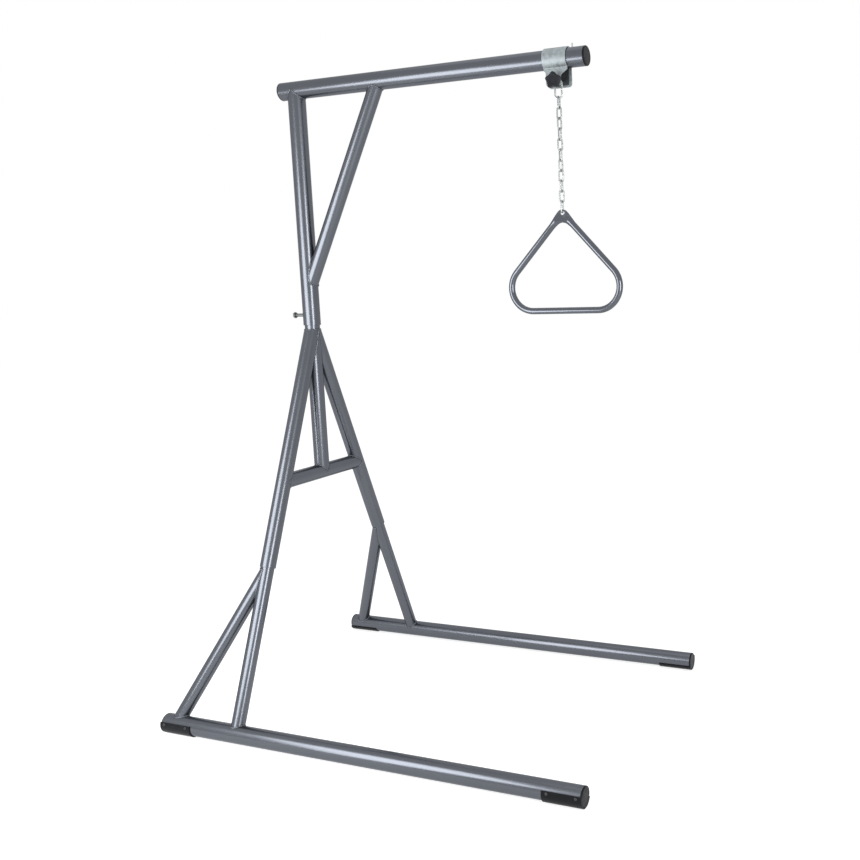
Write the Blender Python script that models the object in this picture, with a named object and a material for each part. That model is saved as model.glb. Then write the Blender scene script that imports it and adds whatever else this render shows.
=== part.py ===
"""Freestanding trapeze: a knock-down floor frame with a swivelling mast, a boom, a chain and a pull handle.

Metres, +X forward along the boom, +Y to the left, +Z up, floor at z = 0. The origin is on the floor, under
the middle of the rails. Run it with blender --background --python part.py, or from Blender's text editor.
"""
import math

import bmesh
import bpy
from mathutils import Matrix, Vector

# Clearances
GAP = 0.0003                    # between pieces that touch or are welded
SLEEVE_CLEARANCE = 0.0004       # radial, between telescoping tubes

# Tubes: outside diameters and walls
RAIL_OD = 0.0508
RAIL_WALL = 0.0020
MAST_OD = 0.0508
POST_OD = 0.04445
POST_WALL = 0.0024
LEG_OD = 0.04445
STUB_OD = 0.0381
STUB_WALL = 0.0024
SIDE_BRACE_OD = 0.0381
CROSSBAR_OD = 0.04445
BOOM_OD = 0.0508
BOOM_WALL = 0.0020
BOOM_BRACE_OD = 0.0413
LIGHT_WALL = 0.0020             # of braces and crossbar
TUBE_SIDES = 32
SEAT_ROUNDS = 8                 # of the search for the side brace's slant

# Base: two floor rails with their pads
RAIL_LENGTH = 1.284
RAIL_SPACING = 0.890            # between the rails' axes
MAST_FROM_REAR = 0.2435         # from the rails' rear ends forward to the mast
PAD_LENGTH = 0.1050
PAD_WALL = 0.0025
PAD_TREAD_CUT = 0.0007          # worn off the round pad to make its flat tread
PAD_BEVEL = 0.0008
PAD_TURN = 24.0                 # degrees outwards round the rail, from straight down to the pad's middle
PAD_SCREW_INSET = 0.0145
PAD_SCREW_EDGE_ANGLE = 13.0     # degrees round the rail, from the pad's edge to its screws

# Side frames and A-frame
APEX_HEIGHT = 1.1185            # the legs' tops are cut level here
APEX_LEG_OFFSET = 0.0027        # from the mast's axis to each leg's axis at that height
SLEEVE_END_HEIGHT = 0.453       # where the legs' axes leave the lower ends of their sleeves
STUB_INSERTION = 0.120
SLEEVE_SEAT = 0.0030            # room for the weld between the side brace's top and the sleeve
SIDE_BRACE_FOOT = 0.2128        # from the stub's foot back to the brace's foot
CROSSBAR_HEIGHT = 0.685

# Mast, boom and their brace
MAST_FOOT_HEIGHT = 1.1320
POST_INSERTION = 0.150
BOOM_HEIGHT = 1.8140
BOOM_REAR = 0.0470              # behind the mast's axis
BOOM_FRONT = 0.9160             # ahead of the mast's axis
BRACE_MAST_HEIGHT = 1.2420      # where the brace's axis meets the mast's
BRACE_BOOM_REACH = 0.2820       # where it meets the boom's

# End plugs
PLUG_FLANGE = 0.0040
PLUG_DEPTH = 0.0180
PLUG_WALL = 0.0025
PLUG_EDGE = 0.0026              # rounding of the flange
PLUG_EDGE_STEPS = 3

# Lock bolt at the mast's foot
LOCK_BOLT_HEIGHT = 1.1625
LOCK_BOLT_OD = 0.0100
LOCK_HEAD_FLATS = 0.0160
LOCK_HEAD_THICKNESS = 0.0064
LOCK_HEAD_STAND_OFF = 0.0312    # from the mast's surface to the head's underside
HEX_SIDES = 24                  # a multiple of six

# Self-tapping screws of the pads
SCREW_SHANK_OD = 0.0039
SCREW_HEAD_OD = 0.0076
SCREW_HEAD_THICKNESS = 0.0016
SCREW_LENGTH = 0.0110
SCREW_SIDES = 8

# Boom clamp
CLAMP_REACH = 0.8365            # from the mast's axis to the middle of the clamp
CLAMP_WIDTH = 0.0670
STRAP_THICKNESS = 0.0030
EAR_GAP = 0.0260                # between the ears' inner faces
CLAMP_BOLT_DROP = 0.0583        # from the boom's axis down to the clamp bolt's
EAR_BELOW_BOLT = 0.0125
EAR_CORNER = 0.0090
NEAR_EAR_ROUND = 0.0145         # radius of the near ear's end round the bolt
NEAR_EAR_REAR = 0.0280          # from the bolt back to the near ear's rear edge
NEAR_EAR_NECK_DROP = 0.0435     # from the boom's axis down to the near ear's narrowest place
STRAP_NECK_DROP = 0.0300        # from the boom's axis to where the near ear starts to narrow

# Clamp bolt, star knob, washer and nut
CLAMP_BOLT_OD = 0.0080
CLAMP_BOLT_TAIL = 0.0035        # beyond the nut
CLAMP_BOLT_SIDES = 20
KNOB_OD = 0.0435
KNOB_LOBE_DEPTH = 0.0048
KNOB_LOBES = 5
KNOB_LOBE_SIDES = 8
KNOB_THICKNESS = 0.0150
KNOB_HUB_OD = 0.0190
KNOB_HUB_LENGTH = 0.0060
KNOB_BORE_DEPTH = 0.0140
WASHER_OD = 0.0180
WASHER_THICKNESS = 0.0016
NUT_FLATS = 0.0130
NUT_THICKNESS = 0.0065

# Stop pin on the boom
STOP_PIN_REACH = 0.8795
STOP_PIN_OD = 0.0042
STOP_PIN_HEIGHT = 0.0110
STOP_PIN_ROOT = 0.0080
STOP_PIN_SIDES = 16

# Chain
TOP_LINK_WIRE = 0.0055
TOP_LINK_WIDTH = 0.0250
TOP_LINK_LENGTH = 0.0532
LINK_WIRE = 0.0042
LINK_WIDTH = 0.0165
LINK_LENGTH = 0.0354
LINK_COUNT = 11
LINK_TWIST = {2: -6.0, 3: -26.0, 4: -36.0, 5: -41.0, 6: -40.0, 7: -20.0, 8: -4.0}    # degrees, by link
LINK_BEND_STEPS = 6
WIRE_SIDES = 8

# Handle
HANDLE_WIDTH = 0.3352
HANDLE_TUBE_OD = 0.0175
HANDLE_BEND_RADIUS = 0.0630
HANDLE_DROP = 0.2590            # from the eye hole's centre to the bar's axis
EYE_RADIUS = 0.0178             # of each tube end, flattened to a disc
EYE_SINK = 0.0090               # from the eye hole's centre down to the discs'
EYE_HALF_THICKNESS = 0.0016     # of each flattened tube end
EYE_HOLE_RADIUS = 0.0060
EYE_SQUARENESS = 0.65           # of the flattened section: 1 is an ellipse and 0 a rectangle
EYE_FLAT_LENGTH = 0.0100        # from the eye hole's centre to where the section starts to narrow
EYE_TAPER_LENGTH = 0.0380
EYE_STEPS = 5
EYE_TAPER_STEPS = 5
HANDLE_BEND_STEPS = 9
HANDLE_SIDES = 10

PARALLEL_SINE = 0.01            # two directions at less than this count as parallel

# Shading, in degrees between faces that are still shaded smooth
SMOOTH_ANGLE = 40.0
WIRE_SMOOTH_ANGLE = 80.0
HANDLE_SMOOTH_ANGLE = 60.0

# Places worked out from the sizes
UP = Vector((0, 0, 1))
FORWARD = Vector((1, 0, 0))
LEFT = Vector((0, 1, 0))
MAST_X = MAST_FROM_REAR - RAIL_LENGTH / 2
PAD_OUTER_RADIUS = RAIL_OD / 2 + GAP + PAD_WALL
RAIL_HEIGHT = PAD_OUTER_RADIUS - PAD_TREAD_CUT
LEG_ANGLE = math.atan2(RAIL_SPACING / 2 - APEX_LEG_OFFSET, APEX_HEIGHT - RAIL_HEIGHT)
MAST_BORE = POST_OD / 2 + SLEEVE_CLEARANCE
LEG_BORE = STUB_OD / 2 + SLEEVE_CLEARANCE
BOOM_TOP = BOOM_HEIGHT + BOOM_OD / 2
CLAMP_X = MAST_X + CLAMP_REACH
CLAMP_BOLT_Z = BOOM_HEIGHT - CLAMP_BOLT_DROP
EAR_OUTSIDE = EAR_GAP / 2 + STRAP_THICKNESS
LINK_SPAN = LINK_LENGTH - LINK_WIRE              # between the axes of a link's two end bends
TOP_LINK_SPAN = TOP_LINK_LENGTH - TOP_LINK_WIRE


def clear_scene():
    for item in list(bpy.data.objects):
        bpy.data.objects.remove(item, do_unlink=True)


def make_material(name, colour, roughness, metallic):
    material = bpy.data.materials.new(name)
    material.use_nodes = True
    shader = material.node_tree.nodes["Principled BSDF"]
    shader.inputs["Base Color"].default_value = (*colour, 1.0)
    shader.inputs["Roughness"].default_value = roughness
    shader.inputs["Metallic"].default_value = metallic
    return material


def make_materials():
    return {
        "frame_paint": make_material("frame_paint", (0.150, 0.155, 0.170), 0.32, 0.75),
        "black_plastic": make_material("black_plastic", (0.022, 0.022, 0.024), 0.50, 0.0),
        "black_steel": make_material("black_steel", (0.030, 0.030, 0.032), 0.35, 0.9),
        "zinc": make_material("zinc", (0.600, 0.620, 0.640), 0.35, 1.0),
        "galvanised": make_material("galvanised", (0.430, 0.460, 0.480), 0.45, 0.9),
    }


def along(start, direction):
    """A matrix whose Z axis lies along direction, with its X axis as near to forward as it can be."""
    z_axis = direction.normalized()
    hint = LEFT if z_axis.cross(FORWARD).length < PARALLEL_SINE else FORWARD
    y_axis = z_axis.cross(hint).normalized()
    x_axis = y_axis.cross(z_axis)
    basis = Matrix((x_axis, y_axis, z_axis)).transposed()
    return Matrix.Translation(start) @ basis.to_4x4()


def ring(radius, height, sides):
    """A ring of points round Z. radius is a number, or a function of the angle."""
    points = []
    for index in range(sides):
        angle = 2 * math.pi * index / sides
        reach = radius(angle) if callable(radius) else radius
        points.append(Vector((reach * math.cos(angle), reach * math.sin(angle), height)))
    return points


def loft(rings, closed=False):
    """Joins rings of equal count with quads. A closed loft ends where it began, and an open one is capped."""
    mesh = bmesh.new()
    loops = [[mesh.verts.new(point) for point in points] for points in rings]
    count = len(loops[0])
    pairs = list(zip(loops, loops[1:]))
    if closed:
        pairs.append((loops[-1], loops[0]))
    for lower, upper in pairs:
        for index in range(count):
            following = (index + 1) % count
            mesh.faces.new((lower[index], lower[following], upper[following], upper[index]))
    if not closed:
        mesh.faces.new(loops[0])
        mesh.faces.new(loops[-1])
    bmesh.ops.recalc_face_normals(mesh, faces=mesh.faces)
    return mesh


def prism(outline, shift):
    """A flat outline of points, extruded by a shift."""
    return loft([outline, [point + shift for point in outline]])


def arc(radius, start, end, steps):
    """Points (across, up) on an arc, from one angle to another in degrees."""
    points = []
    for k in range(steps + 1):
        angle = math.radians(start + (end - start) * k / steps)
        points.append((radius * math.cos(angle), radius * math.sin(angle)))
    return points


def finish(name, mesh, material, matrix, smooth_angle=SMOOTH_ANGLE):
    """Turns a bmesh into an object at matrix, shaded smooth where faces meet at less than smooth_angle."""
    data = bpy.data.meshes.new(name)
    mesh.to_mesh(data)
    mesh.free()
    data.shade_smooth()
    data.set_sharp_from_angle(angle=math.radians(smooth_angle))
    data.materials.append(material)
    item = bpy.data.objects.new(name, data)
    item.matrix_world = matrix
    bpy.context.collection.objects.link(item)
    return item


def make_cutter(name, mesh, matrix):
    data = bpy.data.meshes.new(name)
    mesh.to_mesh(data)
    mesh.free()
    cutter = bpy.data.objects.new(name, data)
    cutter.matrix_world = matrix
    cutter.hide_render = True
    cutter.display_type = "WIRE"
    bpy.context.collection.objects.link(cutter)
    return cutter


def cut(item, cutter):
    modifier = item.modifiers.new("cut_" + cutter.name, "BOOLEAN")
    modifier.operation = "DIFFERENCE"
    modifier.solver = "EXACT"
    modifier.object = cutter


def carry(name, place, items):
    """Parents the pieces of one moving body to an empty on its joint's axis."""
    empty = bpy.data.objects.new(name, None)
    empty.matrix_world = place
    bpy.context.collection.objects.link(empty)
    for item in items:
        item.parent = empty
        item.matrix_parent_inverse = place.inverted()


class Pipe:
    """A straight round tube between two points, and the cutter that copes or drills what meets it."""

    def __init__(self, start, end, outside_diameter, wall=None):
        self.start = Vector(start)
        self.end = Vector(end)
        self.radius = outside_diameter / 2
        self.bore = None if wall is None else self.radius - wall
        self.length = (self.end - self.start).length
        self.direction = (self.end - self.start).normalized()

    def matrix(self):
        return along(self.start, self.direction)

    def build(self, name, material, sides=TUBE_SIDES):
        outside = [ring(self.radius, 0, sides), ring(self.radius, self.length, sides)]
        if self.bore is None:
            return finish(name, loft(outside), material, self.matrix())
        inside = [ring(self.bore, self.length, sides), ring(self.bore, 0, sides)]
        return finish(name, loft(outside + inside, closed=True), material, self.matrix())

    def cutter(self, name, overrun=0.0, clearance=GAP, sides=TUBE_SIDES):
        """A solid a clearance larger than the tube, run past both its ends by overrun."""
        rings = [ring(self.radius + clearance, -overrun, sides),
                 ring(self.radius + clearance, self.length + overrun, sides)]
        return make_cutter(name, loft(rings), self.matrix())


def at_mast(x, y, z):
    """A point given from the mast's axis on the floor."""
    return Vector((MAST_X + x, y, z))


def leg_point(side, height):
    """The point of a leg's axis at a height. side is +1 on the left and -1 on the right."""
    offset = APEX_LEG_OFFSET + (APEX_HEIGHT - height) * math.tan(LEG_ANGLE)
    return at_mast(0, side * offset, height)


def leg_direction(side):
    """Down along a leg, from the apex to its rail."""
    return Vector((0, side * math.sin(LEG_ANGLE), -math.cos(LEG_ANGLE)))


def frame_pipes():
    """The straight tubes of the frame that their neighbours are cut to."""
    pipes = {
        "post": Pipe(at_mast(0, 0, CROSSBAR_HEIGHT), at_mast(0, 0, MAST_FOOT_HEIGHT + POST_INSERTION),
                     POST_OD, POST_WALL),
        "mast": Pipe(at_mast(0, 0, MAST_FOOT_HEIGHT), at_mast(0, 0, BOOM_HEIGHT),
                     MAST_OD, MAST_OD / 2 - MAST_BORE),
        "boom": Pipe(at_mast(-BOOM_REAR, 0, BOOM_HEIGHT), at_mast(BOOM_FRONT, 0, BOOM_HEIGHT),
                     BOOM_OD, BOOM_WALL),
        "boom_brace": Pipe(at_mast(0, 0, BRACE_MAST_HEIGHT), at_mast(BRACE_BOOM_REACH, 0, BOOM_HEIGHT),
                           BOOM_BRACE_OD, LIGHT_WALL),
        "crossbar": Pipe(leg_point(-1, CROSSBAR_HEIGHT), leg_point(1, CROSSBAR_HEIGHT),
                         CROSSBAR_OD, LIGHT_WALL),
    }
    for side, word in ((1, "left"), (-1, "right")):
        top = leg_point(side, APEX_HEIGHT + APEX_LEG_OFFSET / math.tan(LEG_ANGLE))
        sleeve_end = leg_point(side, SLEEVE_END_HEIGHT)
        foot = leg_point(side, RAIL_HEIGHT)
        stub_top = sleeve_end - leg_direction(side) * STUB_INSERTION
        pipes[word + "_leg"] = Pipe(sleeve_end, top, LEG_OD, LEG_OD / 2 - LEG_BORE)
        pipes[word + "_stub"] = Pipe(foot, stub_top, STUB_OD, STUB_WALL)
        pipes[word + "_rail"] = Pipe(Vector((-RAIL_LENGTH / 2, foot.y, RAIL_HEIGHT)),
                                     Vector((RAIL_LENGTH / 2, foot.y, RAIL_HEIGHT)), RAIL_OD, RAIL_WALL)
        pipes[word + "_side_brace"] = side_brace_pipe(side, sleeve_end, foot)
    return pipes


def side_brace_pipe(side, sleeve_end, foot):
    """The slanted brace of a side frame. The leg's sleeve rests on the weld round its upper end."""
    stub_length = (sleeve_end - foot).length - SLEEVE_SEAT
    angle = math.atan2(SIDE_BRACE_FOOT, stub_length)
    for _ in range(SEAT_ROUNDS):
        rise = (SIDE_BRACE_OD / 2 / math.cos(angle) - STUB_OD / 2) / math.tan(angle)
        meeting = stub_length - max(rise, 0.0) - GAP
        angle = math.atan2(SIDE_BRACE_FOOT, meeting)
    top = foot - leg_direction(side) * meeting
    return Pipe(foot - FORWARD * SIDE_BRACE_FOOT, top, SIDE_BRACE_OD, LIGHT_WALL)


def build_mast_group(pipes, cutters, materials):
    paint = materials["frame_paint"]
    mast = pipes["mast"].build("mast", paint)
    cut(mast, cutters["boom"])
    hole = Pipe(at_mast(-MAST_OD, 0, LOCK_BOLT_HEIGHT), at_mast(0, 0, LOCK_BOLT_HEIGHT), LOCK_BOLT_OD)
    cut(mast, hole.cutter("lock_bolt_hole", sides=HEX_SIDES))
    boom = pipes["boom"].build("boom", paint)
    brace = pipes["boom_brace"].build("boom_brace", paint)
    cut(brace, cutters["mast"])
    cut(brace, cutters["boom"])
    items = [mast, boom, brace, build_stop_pin(boom, materials["zinc"])]
    boom_ends = (("front", pipes["boom"].end, FORWARD), ("rear", pipes["boom"].start, -FORWARD))
    for place, end, outward in boom_ends:
        name = "boom_" + place + "_plug"
        items.append(build_plug(name, end, outward, BOOM_OD, BOOM_WALL, materials["black_plastic"]))
    carry("mast_swivel", Matrix.Translation(at_mast(0, 0, MAST_FOOT_HEIGHT)), items)


def build_stop_pin(boom, material):
    """A round-nosed pin through the boom's upper wall, which stops the clamp from sliding off."""
    radius = STOP_PIN_OD / 2
    foot = Vector((MAST_X + STOP_PIN_REACH, 0, BOOM_TOP - STOP_PIN_ROOT))
    length = STOP_PIN_ROOT + STOP_PIN_HEIGHT
    nose = radius / 2
    rings = [ring(reach, height, STOP_PIN_SIDES)
             for reach, height in ((radius, 0), (radius, length - nose), (nose, length))]
    hole = Pipe(foot, foot + UP * (length + radius), STOP_PIN_OD)
    cut(boom, hole.cutter("stop_pin_hole", sides=STOP_PIN_SIDES))
    return finish("boom_stop_pin", loft(rings), material, along(foot, UP))


def build_plug(name, tube_end, outward, tube_od, tube_wall, material):
    """A push-in plug: a flange as wide as the tube, and a hollow skirt inside it."""
    body = tube_od / 2 - tube_wall - GAP
    flange = tube_od / 2
    top = GAP + PLUG_FLANGE
    rings = [ring(body - PLUG_WALL, GAP, TUBE_SIDES),
             ring(body - PLUG_WALL, -PLUG_DEPTH, TUBE_SIDES),
             ring(body, -PLUG_DEPTH, TUBE_SIDES),
             ring(body, GAP, TUBE_SIDES),
             ring(flange, GAP, TUBE_SIDES)]
    rings += [ring(flange - PLUG_EDGE + across, top - PLUG_EDGE + up, TUBE_SIDES)
              for across, up in arc(PLUG_EDGE, 0, 90, PLUG_EDGE_STEPS)]
    return finish(name, loft(rings), material, along(tube_end, outward))


def build_a_frame(pipes, cutters, materials):
    paint = materials["frame_paint"]
    post = pipes["post"].build("centre_post", paint)
    cut(post, cutters["crossbar"])
    crossbar = pipes["crossbar"].build("crossbar", paint)
    reach = 4 * LEG_OD
    square = [FORWARD * reach * a + LEFT * reach * b for a, b in ((-1, -1), (1, -1), (1, 1), (-1, 1))]
    trim = make_cutter("apex_trim", prism(square, UP * reach),
                       Matrix.Translation(at_mast(0, 0, APEX_HEIGHT)))
    for word in ("left", "right"):
        leg = pipes[word + "_leg"].build(word + "_upper_leg", paint)
        cut(leg, cutters["post"])
        cut(leg, trim)
        cut(crossbar, cutters[word + "_leg"])


def build_side_frame(word, side, pipes, cutters, materials):
    paint = materials["frame_paint"]
    plastic = materials["black_plastic"]
    rail_pipe = pipes[word + "_rail"]
    rail = rail_pipe.build(word + "_rail", paint)
    stub = pipes[word + "_stub"].build(word + "_lower_leg", paint)
    cut(stub, cutters[word + "_rail"])
    brace = pipes[word + "_side_brace"].build(word + "_side_brace", paint)
    cut(brace, cutters[word + "_rail"])
    cut(brace, cutters[word + "_stub"])
    items = [rail, stub, brace]
    for place, end, outward in (("front", rail_pipe.end, FORWARD), ("rear", rail_pipe.start, -FORWARD)):
        plug = build_plug(word + "_rail_" + place + "_plug", end, outward, RAIL_OD, RAIL_WALL, plastic)
        pad_end = end + outward * (GAP + PLUG_FLANGE)
        items.append(plug)
        items += build_pad(word + "_" + place + "_pad", side, pad_end, -outward, rail, plug, materials)
    carry(word + "_base_pull", along(pipes[word + "_leg"].start, leg_direction(side)), items)


def pad_outline(side):
    """The pad's section round its rail's axis: half a ring turned outwards, with a flat tread."""
    inner = RAIL_OD / 2 + GAP
    outer_edge = PAD_TURN
    inner_edge = PAD_TURN - 180
    flat = math.degrees(math.acos(RAIL_HEIGHT / PAD_OUTER_RADIUS))
    outline = arc(PAD_OUTER_RADIUS, inner_edge, -90 - flat, 4)
    outline += arc(PAD_OUTER_RADIUS, flat - 90, outer_edge, 9)
    outline += arc(inner, outer_edge, inner_edge, 18)
    return [Vector((0, side * across, up)) for across, up in outline]


def build_pad(name, side, end, inward, rail, plug, materials):
    """A floor pad under a rail's end, and the four screws through it. It runs inward from end."""
    pad = finish(name, prism(pad_outline(side), inward * PAD_LENGTH), materials["black_plastic"],
                 Matrix.Translation(end))
    bevel = pad.modifiers.new("edges", "BEVEL")
    bevel.width = PAD_BEVEL
    bevel.segments = 1
    bevel.limit_method = "ANGLE"
    bevel.angle_limit = math.radians(50)
    items = [pad]
    edges = (("outer", PAD_TURN - PAD_SCREW_EDGE_ANGLE), ("inner", PAD_TURN + PAD_SCREW_EDGE_ANGLE - 180))
    for edge, angle in edges:
        turn = math.radians(angle)
        outward = Vector((0, side * math.cos(turn), math.sin(turn)))
        for number, inset, held in ((1, PAD_SCREW_INSET, (pad, rail, plug)),
                                    (2, PAD_LENGTH - PAD_SCREW_INSET, (pad, rail))):
            screw_name = "%s_%s_screw_%d" % (name, edge, number)
            material = materials["black_steel"]
            items.append(build_screw(screw_name, end + inward * inset, outward, held, material))
    return items


def build_screw(name, centre, outward, held, material):
    """A domed screw on a line outwards from a rail's axis, and its hole through the pieces that it holds."""
    seat = PAD_OUTER_RADIUS + GAP
    shank = SCREW_SHANK_OD / 2
    head = SCREW_HEAD_OD / 2
    top = seat + SCREW_HEAD_THICKNESS
    tip = seat - SCREW_LENGTH
    profile = ((shank / 2, tip), (shank, tip + shank), (shank, seat), (head, seat),
               (head, seat + SCREW_HEAD_THICKNESS / 2), (head / 2, top))
    hole = Pipe(centre + outward * (tip - shank), centre + outward * top, SCREW_SHANK_OD)
    cutter = hole.cutter(name + "_hole", sides=SCREW_SIDES)
    for piece in held:
        cut(piece, cutter)
    rings = [ring(radius, height, SCREW_SIDES) for radius, height in profile]
    return finish(name, loft(rings), material, along(centre, outward))


def hexagon(flats):
    """The radius of a hexagon at an angle, for ring()."""
    return lambda angle: flats / 2 / math.cos((angle + math.pi / 6) % (math.pi / 3) - math.pi / 6)


def build_lock_bolt(material):
    """The hex bolt through the mast's rear side, which clamps the mast on the post."""
    tip = POST_OD / 2 + GAP
    shank = LOCK_BOLT_OD / 2
    underside = MAST_OD / 2 + LOCK_HEAD_STAND_OFF
    chamfer = LOCK_HEAD_THICKNESS / 6
    top = underside + LOCK_HEAD_THICKNESS
    head = hexagon(LOCK_HEAD_FLATS)
    profile = ((shank - chamfer, tip), (shank, tip + chamfer), (shank, underside), (head, underside),
               (head, top - chamfer), (LOCK_HEAD_FLATS / 2 - chamfer, top))
    rings = [ring(radius, height, HEX_SIDES) for radius, height in profile]
    finish("mast_lock_bolt", loft(rings), material, along(at_mast(0, 0, LOCK_BOLT_HEIGHT), -FORWARD))


def strap_outline():
    """The clamp's section round the boom's axis: a strap round the boom that ends in two ears."""
    inner = BOOM_OD / 2 + GAP
    outer = inner + STRAP_THICKNESS
    low = -CLAMP_BOLT_DROP - EAR_BELOW_BOLT
    start = math.degrees(math.asin(EAR_OUTSIDE / outer)) - 90
    outside = arc(outer, start, 180 - start, 24)
    start = math.degrees(math.asin(EAR_GAP / 2 / inner)) - 90
    inside = arc(inner, 180 - start, start, 24)
    outline = [(EAR_OUTSIDE, low)] + outside + [(-EAR_OUTSIDE, low), (-EAR_GAP / 2, low)]
    return outline + inside + [(EAR_GAP / 2, low)]


def build_clamp(cutters, materials):
    """The strap that slides on the boom. Its near ear, on the right, narrows to the knob."""
    side = CLAMP_WIDTH / 2
    outline = [Vector((-side, across, up)) for across, up in strap_outline()]
    place = Matrix.Translation((CLAMP_X, 0, BOOM_HEIGHT))
    clamp = finish("boom_clamp", prism(outline, FORWARD * CLAMP_WIDTH), materials["galvanised"], place)
    low = -CLAMP_BOLT_DROP - EAR_BELOW_BOLT
    past = STRAP_THICKNESS
    reach = LEFT * (EAR_OUTSIDE + past)
    corner = [(side - EAR_CORNER + a, low + EAR_CORNER + b) for a, b in arc(EAR_CORNER, -90, 0, 6)]
    corner += [(side + past, low + EAR_CORNER), (side + past, low - past), (side - EAR_CORNER, low - past)]
    lowest = math.degrees(math.asin(EAR_BELOW_BOLT / NEAR_EAR_ROUND))
    end = [(a, b - CLAMP_BOLT_DROP) for a, b in arc(NEAR_EAR_ROUND, 0, -lowest, 6)]
    front = [(side + past, -STRAP_NECK_DROP), (side, -STRAP_NECK_DROP), (NEAR_EAR_ROUND, -NEAR_EAR_NECK_DROP)]
    front += end + [(end[-1][0], low - past), (side + past, low - past)]
    round_centre = low + EAR_CORNER
    rear = [(-side - past, -STRAP_NECK_DROP), (-side, -STRAP_NECK_DROP),
            (-NEAR_EAR_REAR, -STRAP_NECK_DROP - side + NEAR_EAR_REAR)]
    rear += [(a - NEAR_EAR_REAR + EAR_CORNER, b + round_centre) for a, b in arc(EAR_CORNER, 180, 270, 6)]
    rear += [(EAR_CORNER - NEAR_EAR_REAR, low - past), (-side - past, low - past)]
    cuts = (("near_ear_front", front, -reach), ("near_ear_rear", rear, -reach),
            ("far_ear_front", corner, reach), ("far_ear_rear", [(-a, b) for a, b in corner], reach))
    for name, points, shift in cuts:
        flat = [Vector((along_boom, 0, up)) for along_boom, up in points]
        cut(clamp, make_cutter(name, prism(flat, shift), place))
    cut(clamp, cutters["clamp_bolt"])
    return clamp


def clamp_bolt_pipe():
    """The clamp bolt runs to the left, from inside the knob to beyond the nut."""
    knob_face = EAR_OUTSIDE + GAP + WASHER_THICKNESS + GAP
    start = Vector((CLAMP_X, -knob_face - KNOB_BORE_DEPTH + GAP, CLAMP_BOLT_Z))
    end = Vector((CLAMP_X, EAR_OUTSIDE + GAP + NUT_THICKNESS + CLAMP_BOLT_TAIL, CLAMP_BOLT_Z))
    return Pipe(start, end, CLAMP_BOLT_OD)


def build_clamp_fasteners(clamp, cutters, materials):
    """The bolt with its knob, the washer under the knob, and the nut on the left ear."""
    zinc = materials["zinc"]
    pipe = clamp_bolt_pipe()
    chamfer = CLAMP_BOLT_OD / 8
    profile = ((pipe.radius, 0), (pipe.radius, pipe.length - chamfer), (pipe.radius - chamfer, pipe.length))
    rings = [ring(radius, height, CLAMP_BOLT_SIDES) for radius, height in profile]
    bolt = finish("clamp_bolt", loft(rings), zinc, pipe.matrix())
    axis = Vector((CLAMP_X, 0, CLAMP_BOLT_Z))
    right = axis - LEFT * (EAR_OUTSIDE + GAP)
    rings = [ring(WASHER_OD / 2, height, HEX_SIDES) for height in (0, WASHER_THICKNESS)]
    washer = finish("knob_washer", loft(rings), zinc, along(right, -LEFT))
    rings = [ring(hexagon(NUT_FLATS), height, HEX_SIDES) for height in (0, NUT_THICKNESS)]
    nut = finish("clamp_nut", loft(rings), zinc, along(axis + LEFT * (EAR_OUTSIDE + GAP), LEFT))
    knob = build_knob(right - LEFT * (WASHER_THICKNESS + GAP), materials["black_plastic"])
    for piece in (washer, nut, knob):
        cut(piece, cutters["clamp_bolt"])
    carry("knob_turn", along(axis, -LEFT), [bolt, knob])
    carry("clamp_slide", Matrix.Translation((CLAMP_X, 0, BOOM_HEIGHT)), [clamp, nut])


def build_knob(face, material):
    """A star knob with one lobe upwards, on a round hub."""
    def star(shrink):
        middle = KNOB_OD / 2 - KNOB_LOBE_DEPTH / 2 - shrink
        return lambda angle: middle + KNOB_LOBE_DEPTH / 2 * math.cos(KNOB_LOBES * (angle - math.pi / 2))

    sides = KNOB_LOBE_SIDES * KNOB_LOBES
    edge = KNOB_THICKNESS / 6
    top = KNOB_HUB_LENGTH + KNOB_THICKNESS
    rings = [ring(KNOB_HUB_OD / 2, 0, sides), ring(KNOB_HUB_OD / 2, KNOB_HUB_LENGTH, sides),
             ring(star(edge), KNOB_HUB_LENGTH, sides), ring(star(0), KNOB_HUB_LENGTH + edge, sides),
             ring(star(0), top - 1.6 * edge, sides), ring(star(0.5 * edge), top - 0.5 * edge, sides),
             ring(star(1.8 * edge), top, sides)]
    return finish("clamp_knob", loft(rings), material, along(face, -LEFT))


def stadium(span, half_width, steps):
    """Points and tangents round a link's axis in the X-Z plane, with its top bend's middle at the origin."""
    drop = span - 2 * half_width
    path = []
    for centre, start in ((-half_width, 0.0), (-half_width - drop, math.pi)):
        for k in range(steps + 1):
            angle = start + math.pi * k / steps
            point = Vector((half_width * math.cos(angle), 0, centre + half_width * math.sin(angle)))
            path.append((point, Vector((-math.sin(angle), 0, math.cos(angle)))))
    return path


def link_mesh(length, width, wire, lift):
    """A welded chain link that hangs in the X-Z plane, with its top bend's axis at the height lift."""
    radius = wire / 2
    rings = []
    for point, tangent in stadium(length - wire, (width - wire) / 2, LINK_BEND_STEPS):
        across = LEFT.cross(tangent)
        section = []
        for index in range(WIRE_SIDES):
            angle = 2 * math.pi * (index + 0.5) / WIRE_SIDES
            section.append(point + UP * lift + (LEFT * math.cos(angle) + across * math.sin(angle)) * radius)
        rings.append(section)
    return loft(rings, closed=True)


def chain_joints():
    """Where each link hangs: the height of the wire it hangs on, and its own turn about Z in degrees."""
    top_lift = CLAMP_BOLT_OD / 2 + GAP + TOP_LINK_WIRE / 2
    height = CLAMP_BOLT_Z + top_lift - TOP_LINK_SPAN
    joints = []
    for number in range(1, LINK_COUNT + 1):
        turn = (90.0 if number % 2 else 0.0) + LINK_TWIST.get(number, 0.0)
        joints.append((number, height, turn))
        held_by = TOP_LINK_WIRE if number == 1 else LINK_WIRE
        height += (held_by + LINK_WIRE) / 2 + GAP - LINK_SPAN
    return joints, height


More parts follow.
